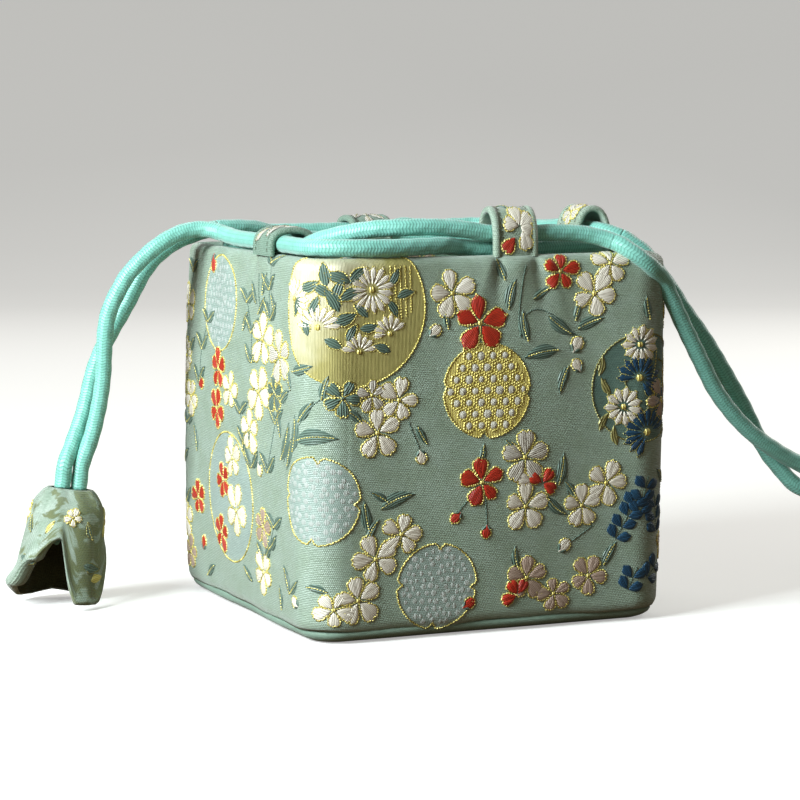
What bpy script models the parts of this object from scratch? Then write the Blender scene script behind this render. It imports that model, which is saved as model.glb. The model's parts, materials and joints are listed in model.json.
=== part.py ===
"""Tea set storage bag: a padded brocade cube with an open mouth and two drawstrings.

Every length is in metres. The bag stands on its base with the origin under its middle, +Z up.
The front wall faces -Y, the right wall +X, the back wall +Y and the left wall -X. Each wall is
cloth over a pad over lining; four cloth loops on the rim carry two cords, and each cord's two
ends leave the rim together and finish in a folded cloth bellflower.
"""

import math

import bmesh
import bpy
from mathutils import Matrix, Vector

MM = 0.001

# Driving sizes of the bag.
SIDE = 110 * MM
HEIGHT = 106 * MM
CORNER_RADIUS = 11 * MM
WALL_BOW = 2 * MM
WALL_BOW_UP_POWER = 0.8
WALL_BOW_ACROSS_POWER = 1.5
BROCADE = 1.2 * MM
LINING = 1.2 * MM
WALL = 8.1 * MM
CLEARANCE = 0.3 * MM
RIM_ROUND = 3 * MM
MOUTH_ROUND = 4.2 * MM
FACING_DEPTH = 25 * MM

# The base: a cloth dish under a pad and a board.
BASE_EDGE = 4.2 * MM
BASE_EDGE_INSET = 0.6 * MM
BASE_EDGE_RUN = 0.8 * MM
BASE_ROUND = 4 * MM
BASE_PAD = 4 * MM
BASE_PAD_TOP_ROUND = 0.8 * MM
BOARD = 1.5 * MM

# The loops: folded strips of cloth that stand on the rim.
LOOP_WIDTH = 13.5 * MM
LOOP_CLOTH = 1.6 * MM
LOOP_LAP = 11 * MM
FRONT_LOOP_RISE = 13.1 * MM
RIGHT_LOOP_RISE = 11.8 * MM
TALL_LOOP_REACH = 10 * MM
TALL_LOOP_FOOT = 2.4 * MM
LOW_LOOP_RISE = 7.1 * MM
LOW_LOOP_REACH = 12.7 * MM
LOW_LOOP_FOOT = 0.5 * MM
TALL_LOOP_POWER = 0.6
LOW_LOOP_POWER = 0.4
LOOP_BEND_REACH_SHARE = 0.65
LOOP_BEND_DROP_SHARE = 0.8
FRONT_LOOP_PLACE = 7.5 * MM
RIGHT_LOOP_PLACE = -16 * MM
BACK_LOOP_PLACE = -4 * MM
LEFT_LOOP_PLACE = 18.5 * MM

# The cords, and the cloth bellflowers on their ends.
CORD = 4.8 * MM
CORD_PAIR = 5.1 * MM
CORD_STEP = 6.3 * MM
CORD_STRAIGHT = 7 * MM
BELL_LENGTH = 33 * MM
BELL_CLOTH = 1.2 * MM
BELL_NECK_WIDE = 5.75 * MM
BELL_NECK_THIN = 3.15 * MM
BELL_SHOULDER = 9.6 * MM
BELL_BELLY = 11.6 * MM
BELL_MOUTH = 13.8 * MM
SHOULDER_SHARE = 0.22
BELLY_SHARE = 0.65
FLARE_POWER = 1.4
PETALS = 4
NOTCH_SHARE = 0.56
NOTCH_HALF_WIDTH = math.radians(37)
KNOT_STEM = 15 * MM
KNOT_TURN = 4.2 * MM
KNOT_TURN_CORD = 1.9 * MM
KNOT_TURN_SQUASH = 0.8
KNOT_TURN_LEAN = math.radians(9)
KNOT_TURN_DEPTHS = (9.2 * MM, 12.4 * MM)
LEFT_NECK = (-95.5 * MM, 36 * MM)
RIGHT_NECK = (121.3 * MM, -47 * MM)
LEFT_BELL_TILT = math.radians(8)
RIGHT_BELL_TILT = math.radians(-55)
LEFT_PETAL_TURN = math.radians(-10)
RIGHT_PETAL_TURN = math.radians(0)

# How finely the round forms are cut into faces.
SHARP_ANGLE = math.radians(40)
WALL_STEPS = 8
CORNER_STEPS = 4
WALL_ROWS = 7
ROUND_ROWS = 4
LOOP_STEPS = 14
BELL_COLUMNS = 32
BELL_ROWS = 8

# Each cord's whole route but its ends, in metres, chosen along the real one: up one free
# stretch, over the rim, through the loops all round the mouth, over the rim and down again.
LEFT_CORD_ROUTE = [
    (-0.0899, 0.0355, 0.0472), (-0.0888, 0.0348, 0.0510), (-0.0877, 0.0345, 0.0555),
    (-0.0867, 0.0339, 0.0608), (-0.0859, 0.0331, 0.0679), (-0.0858, 0.0323, 0.0743),
    (-0.0857, 0.0317, 0.0793), (-0.0851, 0.0311, 0.0850), (-0.0837, 0.0306, 0.0894),
    (-0.0818, 0.0301, 0.0933), (-0.0793, 0.0296, 0.0976), (-0.0765, 0.0290, 0.1008),
    (-0.0735, 0.0284, 0.1038), (-0.0697, 0.0278, 0.1068), (-0.0652, 0.0277, 0.1093),
    (-0.0611, 0.0277, 0.1106), (-0.0575, 0.0272, 0.1110), (-0.0548, 0.0257, 0.1108),
    (-0.0519, 0.0220, 0.1099), (-0.0511, 0.0160, 0.1091), (-0.0508, 0.0090, 0.1088),
    (-0.0508, 0.0010, 0.1088), (-0.0508, -0.0070, 0.1088), (-0.0508, -0.0130, 0.1088),
    (-0.0508, -0.0185, 0.1088), (-0.0508, -0.0240, 0.1088), (-0.0510, -0.0310, 0.1088),
    (-0.0512, -0.0375, 0.1088), (-0.0502, -0.0440, 0.1088), (-0.0462, -0.0495, 0.1088),
    (-0.0400, -0.0522, 0.1088), (-0.0335, -0.0531, 0.1087), (-0.0270, -0.0528, 0.1087),
    (-0.0200, -0.0517, 0.1088), (-0.0135, -0.0500, 0.1088), (-0.0070, -0.0470, 0.1081),
    (0.0000, -0.0462, 0.1074), (0.0075, -0.0461, 0.1072), (0.0150, -0.0460, 0.1073),
    (0.0225, -0.0453, 0.1076), (0.0300, -0.0441, 0.1078), (0.0375, -0.0415, 0.1077),
    (0.0432, -0.0368, 0.1075), (0.0457, -0.0300, 0.1073), (0.0461, -0.0225, 0.1072),
    (0.0461, -0.0160, 0.1072), (0.0461, -0.0095, 0.1072), (0.0460, -0.0020, 0.1070),
    (0.0457, 0.0090, 0.1067), (0.0455, 0.0200, 0.1066), (0.0450, 0.0310, 0.1066),
    (0.0420, 0.0392, 0.1068), (0.0350, 0.0437, 0.1067), (0.0250, 0.0451, 0.1064),
    (0.0150, 0.0455, 0.1062), (0.0060, 0.0455, 0.1062), (-0.0030, 0.0454, 0.1062),
    (-0.0110, 0.0448, 0.1064), (-0.0190, 0.0432, 0.1069), (-0.0260, 0.0410, 0.1076),
    (-0.0304, 0.0398, 0.1089), (-0.0340, 0.0388, 0.1101), (-0.0377, 0.0378, 0.1106),
    (-0.0429, 0.0366, 0.1109), (-0.0493, 0.0358, 0.1108), (-0.0546, 0.0354, 0.1097),
    (-0.0591, 0.0351, 0.1083), (-0.0625, 0.0349, 0.1070), (-0.0658, 0.0349, 0.1049),
    (-0.0691, 0.0352, 0.1021), (-0.0724, 0.0360, 0.0976), (-0.0752, 0.0371, 0.0919),
    (-0.0781, 0.0378, 0.0865), (-0.0810, 0.0384, 0.0816), (-0.0835, 0.0389, 0.0769),
    (-0.0856, 0.0394, 0.0722), (-0.0873, 0.0396, 0.0672), (-0.0890, 0.0398, 0.0603),
    (-0.0909, 0.0396, 0.0544), (-0.0929, 0.0388, 0.0500), (-0.0946, 0.0377, 0.0465),
]
LEFT_EXITS = ((-0.0519, 0.0220, 0.1099), (-0.0493, 0.0358, 0.1108))
RIGHT_CORD_ROUTE = [
    (0.1053, -0.0459, 0.0342), (0.1021, -0.0453, 0.0365), (0.0997, -0.0447, 0.0393),
    (0.0975, -0.0443, 0.0418), (0.0953, -0.0439, 0.0446), (0.0916, -0.0430, 0.0508),
    (0.0875, -0.0423, 0.0589), (0.0809, -0.0416, 0.0699), (0.0744, -0.0411, 0.0798),
    (0.0684, -0.0400, 0.0880), (0.0647, -0.0384, 0.0943), (0.0622, -0.0365, 0.0984),
    (0.0609, -0.0345, 0.1016), (0.0592, -0.0325, 0.1045), (0.0565, -0.0310, 0.1068),
    (0.0535, -0.0292, 0.1090), (0.0501, -0.0265, 0.1104), (0.0488, -0.0225, 0.1110),
    (0.0490, -0.0160, 0.1111), (0.0490, -0.0095, 0.1113), (0.0496, 0.0000, 0.1112),
    (0.0501, 0.0110, 0.1104), (0.0503, 0.0220, 0.1100), (0.0503, 0.0330, 0.1098),
    (0.0484, 0.0428, 0.1098), (0.0425, 0.0487, 0.1097), (0.0340, 0.0503, 0.1095),
    (0.0260, 0.0507, 0.1093), (0.0185, 0.0507, 0.1100), (0.0115, 0.0508, 0.1089),
    (0.0045, 0.0508, 0.1088), (-0.0025, 0.0508, 0.1088), (-0.0100, 0.0508, 0.1088),
    (-0.0190, 0.0507, 0.1088), (-0.0280, 0.0503, 0.1087), (-0.0355, 0.0485, 0.1081),
    (-0.0410, 0.0441, 0.1067), (-0.0440, 0.0375, 0.1055), (-0.0452, 0.0300, 0.1053),
    (-0.0455, 0.0210, 0.1056), (-0.0455, 0.0110, 0.1059), (-0.0455, 0.0010, 0.1061),
    (-0.0455, -0.0080, 0.1063), (-0.0455, -0.0140, 0.1064), (-0.0455, -0.0200, 0.1066),
    (-0.0451, -0.0255, 0.1078), (-0.0434, -0.0320, 0.1100), (-0.0385, -0.0390, 0.1121),
    (-0.0310, -0.0445, 0.1136), (-0.0245, -0.0472, 0.1139), (-0.0180, -0.0482, 0.1140),
    (-0.0120, -0.0485, 0.1137), (-0.0060, -0.0488, 0.1131), (0.0005, -0.0490, 0.1120),
    (0.0075, -0.0490, 0.1118), (0.0145, -0.0490, 0.1118), (0.0230, -0.0490, 0.1117),
    (0.0297, -0.0495, 0.1113), (0.0350, -0.0508, 0.1102), (0.0385, -0.0529, 0.1089),
    (0.0400, -0.0552, 0.1079), (0.0419, -0.0568, 0.1063), (0.0444, -0.0577, 0.1045),
    (0.0482, -0.0573, 0.1018), (0.0534, -0.0542, 0.0983), (0.0565, -0.0527, 0.0937),
    (0.0604, -0.0518, 0.0869), (0.0651, -0.0512, 0.0789), (0.0692, -0.0507, 0.0720),
    (0.0731, -0.0502, 0.0656), (0.0778, -0.0499, 0.0598), (0.0824, -0.0497, 0.0551),
    (0.0880, -0.0495, 0.0505), (0.0943, -0.0491, 0.0465), (0.0993, -0.0486, 0.0437),
    (0.1044, -0.0483, 0.0413),
]
RIGHT_EXITS = ((0.0535, -0.0292, 0.1090), (0.0385, -0.0529, 0.1089))


def finish(name, color, roughness, metallic=0.0):
    """A plain material of the piece's own colour."""
    material = bpy.data.materials.new(name)
    material.use_nodes = True
    shader = material.node_tree.nodes["Principled BSDF"]
    shader.inputs["Base Color"].default_value = (*color, 1.0)
    shader.inputs["Roughness"].default_value = roughness
    shader.inputs["Metallic"].default_value = metallic
    return material


def start_scene():
    """An empty scene with one collection for the bag and one for its cutters."""
    for old in list(bpy.data.objects):
        bpy.data.objects.remove(old, do_unlink=True)
    made = [bpy.data.collections.new(name) for name in ("tea_set_bag", "cutters")]
    for collection in made:
        bpy.context.scene.collection.children.link(collection)
    return made


def place(collection, name, data, material):
    """Makes the object, gives it its material and links it."""
    piece = bpy.data.objects.new(name, data)
    data.materials.append(material)
    collection.objects.link(piece)
    if piece.type == "MESH":
        data.shade_smooth()
        data.set_sharp_from_angle(angle=SHARP_ANGLE)
    return piece


def thicken(piece, thickness, centred=False):
    """Gives an open sheet its cloth's thickness, behind its face or half to each side."""
    cloth = piece.modifiers.new("cloth", "SOLIDIFY")
    cloth.thickness = thickness
    cloth.offset = 0 if centred else -1
    cloth.use_even_offset = True


def bow_at(along, height):
    """How far a padded wall swells outwards: most at its middle, nothing at its edges."""
    up = min(max((height - BASE_EDGE) / (HEIGHT - RIM_ROUND - BASE_EDGE), 0.0), 1.0)
    across = math.cos(math.pi / 2 * min(abs(along) / (SIDE / 2 - CORNER_RADIUS / 2), 1.0))
    return WALL_BOW * math.sin(math.pi * up) ** WALL_BOW_UP_POWER * across**WALL_BOW_ACROSS_POWER


def wall_columns(inset, mitred=False):
    """Points of one wall's plan at this inset, as (along, outwards), left to right.

    A whole column runs from the end of one corner's round to the start of the next. A mitred one
    ends halfway round each corner, short of its neighbour by half the clearance."""
    straight = SIDE / 2 - CORNER_RADIUS
    radius = CORNER_RADIUS - inset
    points = [
        (straight * (2 * step / WALL_STEPS - 1), straight + radius)
        for step in range(WALL_STEPS + 1)
    ]
    if mitred:
        last = math.radians(45) - CLEARANCE / 2 / radius
        half = CORNER_STEPS // 2
        turns = [last * step / half for step in range(1, half + 1)]
    else:
        turns = [math.radians(90) * step / CORNER_STEPS for step in range(1, CORNER_STEPS)]
    right = [
        (straight + radius * math.sin(turn), straight + radius * math.cos(turn))
        for turn in turns
    ]
    left = [(-x, y) for x, y in reversed(right)] if mitred else []
    return left + points + right


def on_wall(wall, along, outwards):
    """Turns a point of the front wall's plan to the wall of this number: 0 front, 1 right, 2 back, 3 left."""
    turn = math.radians(90) * wall
    x, y = along, -outwards
    return x * math.cos(turn) - y * math.sin(turn), x * math.sin(turn) + y * math.cos(turn)


def ring(inset, height, bowed):
    """The bag's whole outline at this inset and height."""
    points = []
    for wall in range(4):
        for along, outwards in wall_columns(inset):
            bow = bow_at(along, height) if bowed else 0.0
            points.append(Vector((*on_wall(wall, along, outwards + bow), height)))
    return points


def loft(rows, closed, cap_start=False, cap_end=False):
    """A mesh through rows of points, which looks to the side that row x next row gives.

    A closed row runs round to its own start. Rows anticlockwise from above and going up look out."""
    mesh = bpy.data.meshes.new("loft")
    shape = bmesh.new()
    grid = [[shape.verts.new(point) for point in row] for row in rows]
    count = len(rows[0])
    for lower, upper in zip(grid, grid[1:]):
        for i in range(count if closed else count - 1):
            j = (i + 1) % count
            shape.faces.new((lower[i], lower[j], upper[j], upper[i]))
    if cap_start:
        shape.faces.new(list(reversed(grid[0])))
    if cap_end:
        shape.faces.new(grid[-1])
    shape.to_mesh(mesh)
    shape.free()
    return mesh


def quarter(start, end, rows, first_along_height):
    """Points (inset, height) of a quarter round from start to end, both left out at the start.

    first_along_height says which way the curve sets off: up and down the wall, or across it."""
    points = []
    for row in range(1, rows + 1):
        turn = math.pi / 2 * row / rows
        slow, fast = 1 - math.cos(turn), math.sin(turn)
        a, b = (slow, fast) if first_along_height else (fast, slow)
        points.append((start[0] + (end[0] - start[0]) * a, start[1] + (end[1] - start[1]) * b))
    return points


def make_outer_wrap(bag, material):
    """The brocade: one strip round all four walls, turned in over the top of the pads."""
    foot = BASE_EDGE + CLEARANCE
    shoulder = HEIGHT - RIM_ROUND
    profile = [(0.0, foot + (shoulder - foot) * row / WALL_ROWS) for row in range(WALL_ROWS + 1)]
    profile += quarter((0.0, shoulder), (RIM_ROUND, HEIGHT), ROUND_ROWS, True)
    mesh = loft([ring(inset, height, inset == 0.0) for inset, height in profile], True)
    thicken(place(bag, "outer_wrap", mesh, material), BROCADE)


def make_rim_facing(bag, material):
    """The strip of brocade inside the mouth, from the rim's seam down to the lining."""
    seam = RIM_ROUND + CLEARANCE
    turn_start = (WALL - MOUTH_ROUND, HEIGHT)
    turn_end = (WALL, HEIGHT - MOUTH_ROUND)
    foot = HEIGHT - FACING_DEPTH
    profile = [(seam, HEIGHT), turn_start]
    profile += quarter(turn_start, turn_end, ROUND_ROWS, False)
    profile += [(WALL, foot)]
    mesh = loft([ring(inset, height, False) for inset, height in profile], True)
    thicken(place(bag, "rim_facing", mesh, material), BROCADE)


def pad_top():
    """Height of the top of the base's pad, which the wall pads stand on."""
    return BROCADE + CLEARANCE + BASE_PAD


def make_wall_pad(bag, name, wall, material):
    """One wall's wadding: crowned outside, flat inside, round along its top."""
    outer = BROCADE + CLEARANCE
    inner = WALL - BROCADE - CLEARANCE
    foot = pad_top() + CLEARANCE
    top = HEIGHT - BROCADE - CLEARANCE
    outer_round = RIM_ROUND - BROCADE - CLEARANCE
    inner_round = MOUTH_ROUND - BROCADE - CLEARANCE
    shoulder = top - outer_round
    outline = [(outer, foot + (shoulder - foot) * row / WALL_ROWS) for row in range(WALL_ROWS + 1)]
    outline += quarter((outer, shoulder), (outer + outer_round, top), 3, True)
    outline += [(inner - inner_round, top)]
    outline += quarter((inner - inner_round, top), (inner, top - inner_round), 3, False)
    outline += [(inner, (top + foot) / 2), (inner, foot)]
    columns = [wall_columns(inset, mitred=True) for inset, _ in outline]
    rows = []
    for number in reversed(range(len(columns[0]))):
        row = []
        for (inset, height), column in zip(outline, columns):
            along, outwards = column[number]
            bow = bow_at(along, height) if inset == outer else 0.0
            row.append(Vector((*on_wall(wall, along, outwards + bow), height)))
        rows.append(row)
    place(bag, name, loft(rows, True, cap_start=True, cap_end=True), material)


def plate(bag, name, material, low, high, inset):
    """A flat board with the bag's outline."""
    mesh = loft([ring(inset, low, False), ring(inset, high, False)], True, True, True)
    place(bag, name, mesh, material)


def base_profile(inset, low):
    """Points (inset, height) of the base's side, from its flat underside up to its top edge."""
    top = (inset, BASE_EDGE)
    run = (inset, BASE_EDGE - BASE_EDGE_RUN)
    under = (BASE_EDGE_INSET + BASE_ROUND + low * CLEARANCE / BROCADE, low)
    return list(reversed([top, run] + quarter(run, under, ROUND_ROWS, True)))


def make_base(bag, cloth, pad, board, lining):
    """The bottom: a cloth dish, its pad, the stiff board and the lining over it."""
    rows = [ring(inset, height, False) for inset, height in base_profile(BASE_EDGE_INSET, 0.0)]
    thicken(place(bag, "outer_base", loft(rows, True, cap_start=True), cloth), BROCADE)
    shrink = BROCADE + CLEARANCE
    side = BASE_EDGE_INSET + shrink
    top = pad_top()
    profile = base_profile(side, shrink)
    profile += [(side, top - BASE_PAD_TOP_ROUND), (side + BASE_PAD_TOP_ROUND, top)]
    rows = [ring(inset, height, False) for inset, height in profile]
    place(bag, "base_wadding", loft(rows, True, True, True), pad)
    inset = WALL - LINING
    board_low = top + CLEARANCE
    board_high = board_low + BOARD
    plate(bag, "base_board", board, board_low, board_high, inset)
    lining_low = board_high + CLEARANCE
    plate(bag, "lining_base", lining, lining_low, lining_low + LINING, inset)
    return lining_low + LINING


def make_lining_walls(bag, material, floor):
    """The plain lining from the facing down to the bag's floor."""
    low = floor + CLEARANCE
    high = HEIGHT - FACING_DEPTH - CLEARANCE
    mesh = loft([ring(WALL, high, False), ring(WALL, low, False)], True)
    thicken(place(bag, "lining_walls", mesh, material), LINING)


def make_loop(bag, name, wall, place_along, material, foot, reach, rise, power):
    """A strip sewn in the rim's seam, arched over the cords and lapped down inside the mouth."""
    half_cloth = LOOP_CLOTH / 2
    base = HEIGHT + CLEARANCE
    line = []
    for step in range(LOOP_STEPS + 1):
        turn = math.pi * step / LOOP_STEPS
        lift = max(math.sin(turn), 0.0) ** power
        line.append((foot + reach / 2 * (1 - math.cos(turn)), base + (rise - half_cloth) * lift))
    lap_inset = WALL + CLEARANCE + half_cloth
    lap_top = HEIGHT - MOUTH_ROUND
    bend_inset = lap_inset + (foot + reach - lap_inset) * LOOP_BEND_REACH_SHARE
    bend = (bend_inset, base + (lap_top - base) * LOOP_BEND_DROP_SHARE)
    line += [bend, (lap_inset, lap_top - MOUTH_ROUND / 2), (lap_inset, HEIGHT - LOOP_LAP)]
    rows = []
    for inset, height in line:
        outwards = SIDE / 2 - inset
        rows.append([
            Vector((*on_wall(wall, place_along + side * LOOP_WIDTH / 2, outwards), height))
            for side in (-1.0, -0.5, 0.0, 0.5, 1.0)
        ])
    thicken(place(bag, name, loft(rows, False), material), LOOP_CLOTH, centred=True)


def smooth_line(points, step):
    """Points about one step apart on a smooth curve through the given ones."""
    points = [Vector(point) for point in points]
    first = points[0] * 2 - points[1]
    last = points[-1] * 2 - points[-2]
    padded = [first] + points + [last]
    fine = []
    for a, b, c, d in zip(padded, padded[1:], padded[2:], padded[3:]):
        for part in range(16):
            t = part / 16
            fine.append(0.5 * (
                2 * b + (c - a) * t + (2 * a - 5 * b + 4 * c - d) * t**2
                + (3 * b - a - 3 * c + d) * t**3
            ))
    fine.append(points[-1])
    length = sum((b - a).length for a, b in zip(fine, fine[1:]))
    count = max(round(length / step), 2)
    line, walked, wanted = [fine[0]], 0.0, 1
    for a, b in zip(fine, fine[1:]):
        piece = (b - a).length
        while wanted < count and walked + piece >= length * wanted / count:
            line.append(a.lerp(b, (length * wanted / count - walked) / piece))
            wanted += 1
        walked += piece
    line.append(fine[-1])
    return line


def split_cord(line, exits):
    """The line in three: a free stretch, the stretch in the loops and the other free stretch.

    Each cut is in the middle of the straight step nearest to its exit, so the ends meet squarely."""
    cuts = []
    for exit_point in exits:
        middles = [(a + b) / 2 for a, b in zip(line, line[1:])]
        nearest = min(range(len(middles)), key=lambda i: (middles[i] - Vector(exit_point)).length)
        cuts.append((nearest + 1, middles[nearest]))
    (first, start), (second, end) = cuts
    return line[:first] + [start], [start] + line[first:second] + [end], [end] + line[second:]


def make_cord(bag, name, line, material):
    """A round cord along its line, cut square just short of what its ends meet."""
    line = [point.copy() for point in line]
    line[0] += (line[1] - line[0]).normalized() * CLEARANCE / 2
    line[-1] += (line[-2] - line[-1]).normalized() * CLEARANCE / 2
    curve = bpy.data.curves.new(name, "CURVE")
    curve.dimensions = "3D"
    curve.bevel_depth = CORD / 2
    curve.bevel_resolution = 2
    curve.use_fill_caps = True
    spline = curve.splines.new("POLY")
    spline.points.add(len(line) - 1)
    for point, corner in zip(spline.points, line):
        point.co = (*corner, 1.0)
    place(bag, name, curve, material)


def bell_point(turn, share, petal_turn):
    """A point of the bellflower's inner face: share runs from the neck, 0, down to the hem, 1."""
    width = 2 * math.pi / PETALS
    from_notch = abs((turn - petal_turn + width / 2) % width - width / 2)
    notch = max(0.0, 1 - from_notch / NOTCH_HALF_WIDTH)
    down = share * (1 - NOTCH_SHARE * notch)
    if down < SHOULDER_SHARE:
        ease = math.sin(math.pi / 2 * down / SHOULDER_SHARE)
        wide = BELL_NECK_WIDE + (BELL_SHOULDER - BELL_NECK_WIDE) * ease
        thin = BELL_NECK_THIN + (BELL_SHOULDER - BELL_NECK_THIN) * ease
    elif down < BELLY_SHARE:
        swell = (down - SHOULDER_SHARE) / (BELLY_SHARE - SHOULDER_SHARE)
        wide = thin = BELL_SHOULDER + (BELL_BELLY - BELL_SHOULDER) * swell
    else:
        flare = ((down - BELLY_SHARE) / (1 - BELLY_SHARE)) ** FLARE_POWER
        wide = thin = BELL_BELLY + (BELL_MOUTH - BELL_BELLY) * flare
    return Vector((wide * math.cos(turn), thin * math.sin(turn), -BELL_LENGTH * down))


def make_bell(bag, name, material, petal_turn, stand):
    """The folded cloth bellflower: four petals with open notches between them."""
    rows = [
        [
            bell_point(2 * math.pi * column / BELL_COLUMNS + petal_turn, row / BELL_ROWS, petal_turn)
            for column in range(BELL_COLUMNS)
        ]
        for row in range(BELL_ROWS + 1)
    ]
    piece = place(bag, name, loft(rows, True), material)
    thicken(piece, BELL_CLOTH)
    piece.matrix_world = stand


def make_knot(bag, cutters, name, material, stand):
    """The cord's two ends, side by side in the neck, and the knot that stops them inside."""
    shape = bmesh.new()
    stem = KNOT_STEM - CLEARANCE / 2
    middle = -(KNOT_STEM + CLEARANCE / 2) / 2
    for side in (-1, 1):
        bmesh.ops.create_cone(
            shape, cap_ends=True, segments=12, radius1=CORD / 2, radius2=CORD / 2, depth=stem,
            matrix=Matrix.Translation((side * CORD_PAIR / 2, 0, middle)),
        )
    mesh = bpy.data.meshes.new(name)
    shape.to_mesh(mesh)
    shape.free()
    piece = place(bag, name, mesh, material)
    piece.matrix_world = stand
    for number, depth in enumerate(KNOT_TURN_DEPTHS):
        bpy.ops.mesh.primitive_torus_add(
            major_radius=KNOT_TURN, minor_radius=KNOT_TURN_CORD, major_segments=16, minor_segments=8
        )
        turn = bpy.context.object
        turn.name = f"{name}_turn_{number}"
        squash = Matrix.Diagonal((1, KNOT_TURN_SQUASH, 1, 1))
        lean = Matrix.Rotation(KNOT_TURN_LEAN * (-1) ** number, 4, "X")
        turn.matrix_world = stand @ Matrix.Translation((0, 0, -depth)) @ lean @ squash
        turn.hide_render = True
        turn.display_type = "WIRE"
        for home in list(turn.users_collection):
            home.objects.unlink(turn)
        cutters.objects.link(turn)
        join = piece.modifiers.new(f"turn_{number}", "BOOLEAN")
        join.operation = "UNION"
        join.object = turn


def bell_stand(neck, tilt, petal_turn):
    """Where a bell stands: its neck over the given point, as high as its lowest petal needs."""
    turned = Matrix.Rotation(tilt, 3, "Y")
    lowest = 0.0
    for column in range(BELL_COLUMNS):
        turn = 2 * math.pi * column / BELL_COLUMNS + petal_turn
        for row in range(BELL_ROWS + 1):
            point = bell_point(turn, row / BELL_ROWS, petal_turn)
            point += Vector((math.cos(turn), math.sin(turn), 0)) * BELL_CLOTH
            lowest = min(lowest, (turned @ point).z)
    place_at = Vector((*neck, CLEARANCE - lowest))
    return Matrix.Translation(place_at) @ turned.to_4x4()


def cord_line(route, stand, first_side):
    """A whole cord's line, which starts and ends straight in the neck of its bell."""
    ends = [
        [stand @ Vector((side * CORD_PAIR / 2, 0, CORD_STRAIGHT * up)) for up in (0.0, 0.5, 1.0)]
        for side in (first_side, -first_side)
    ]
    return smooth_line(ends[0] + route + list(reversed(ends[1])), CORD_STEP)


def make_cord_pieces(bag, side, line, exits, first, last, material):
    """One cord's three stretches."""
    start, ring_stretch, end = split_cord(line, exits)
    make_cord(bag, f"{side}_{first}_tail", start, material)
    make_cord(bag, f"{side}_ring_cord", ring_stretch, material)
    make_cord(bag, f"{side}_{last}_tail", end, material)


def main():
    bag, cutters = start_scene()
    brocade = finish("brocade", (0.34, 0.52, 0.44), 0.62)
    plain = finish("plain_green_cloth", (0.30, 0.50, 0.42), 0.75)
    wadding = finish("wadding", (0.90, 0.89, 0.85), 0.95)
    board = finish("greyboard", (0.48, 0.45, 0.40), 0.85)
    lining = finish("lining_cloth", (0.62, 0.70, 0.50), 0.70)
    cord = finish("cord", (0.18, 0.60, 0.52), 0.55)
    make_outer_wrap(bag, brocade)
    make_rim_facing(bag, brocade)
    for wall, name in enumerate(("front", "right", "back", "left")):
        make_wall_pad(bag, f"{name}_wadding", wall, wadding)
    floor = make_base(bag, plain, wadding, board, lining)
    make_lining_walls(bag, lining, floor)
    front = (TALL_LOOP_FOOT, TALL_LOOP_REACH, FRONT_LOOP_RISE, TALL_LOOP_POWER)
    right = (TALL_LOOP_FOOT, TALL_LOOP_REACH, RIGHT_LOOP_RISE, TALL_LOOP_POWER)
    low = (LOW_LOOP_FOOT, LOW_LOOP_REACH, LOW_LOOP_RISE, LOW_LOOP_POWER)
    make_loop(bag, "front_loop", 0, FRONT_LOOP_PLACE, brocade, *front)
    make_loop(bag, "right_loop", 1, RIGHT_LOOP_PLACE, brocade, *right)
    make_loop(bag, "back_loop", 2, BACK_LOOP_PLACE, brocade, *low)
    make_loop(bag, "left_loop", 3, LEFT_LOOP_PLACE, brocade, *low)
    left_stand = bell_stand(LEFT_NECK, LEFT_BELL_TILT, LEFT_PETAL_TURN)
    right_stand = bell_stand(RIGHT_NECK, RIGHT_BELL_TILT, RIGHT_PETAL_TURN)
    left_line = cord_line(LEFT_CORD_ROUTE, left_stand, 1)
    right_line = cord_line(RIGHT_CORD_ROUTE, right_stand, -1)
    make_cord_pieces(bag, "left", left_line, LEFT_EXITS, "front", "back", cord)
    make_cord_pieces(bag, "right", right_line, RIGHT_EXITS, "back", "front", cord)
    make_bell(bag, "left_flower_end", brocade, LEFT_PETAL_TURN, left_stand)
    make_bell(bag, "right_flower_end", brocade, RIGHT_PETAL_TURN, right_stand)
    make_knot(bag, cutters, "left_end_knot", cord, left_stand)
    make_knot(bag, cutters, "right_end_knot", cord, right_stand)


main()
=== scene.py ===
"""Tea set storage bag: cloth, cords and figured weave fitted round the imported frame.

Lengths are metres in the frame's own axes. A place on a wall is (round, up): the way round the
bag from the middle of the front wall, and the way up the cloth from z = 0.
"""

import json
import math

import bpy
import numpy as np
from mathutils import Matrix, Vector


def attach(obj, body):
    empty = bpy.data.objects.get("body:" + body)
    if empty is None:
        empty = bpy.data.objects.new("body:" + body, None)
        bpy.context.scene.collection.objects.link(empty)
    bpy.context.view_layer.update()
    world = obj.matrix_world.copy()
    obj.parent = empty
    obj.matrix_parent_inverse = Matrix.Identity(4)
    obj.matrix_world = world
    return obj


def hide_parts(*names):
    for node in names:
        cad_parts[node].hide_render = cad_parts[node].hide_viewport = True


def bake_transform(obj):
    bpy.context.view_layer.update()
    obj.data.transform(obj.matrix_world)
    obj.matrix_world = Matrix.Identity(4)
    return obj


MM = 0.001
FULL_TURN = 2 * math.pi

# The bag's own sizes, as in the part's source.
SIDE, HEIGHT, CORNER = 110 * MM, 106 * MM, 11 * MM
WALL, FOOT, RIM = 8.1 * MM, 3.6 * MM, 3 * MM
MOUTH_ROUND, FACING_DEPTH = 4.2 * MM, 25 * MM
CORD, CORD_PAIR, CORD_STRAIGHT = 4.8 * MM, 5.1 * MM, 7 * MM
LOOP_WIDTH, LOOP_CLOTH = 13.5 * MM, 1.6 * MM
SHOULDER = HEIGHT - RIM
SEAM_TOP = SHOULDER + RIM * math.pi / 2
STRAIGHT = SIDE / 2 - CORNER
QUARTER = 2 * STRAIGHT + CORNER * math.pi / 2
GIRTH = 4 * QUARTER

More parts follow.
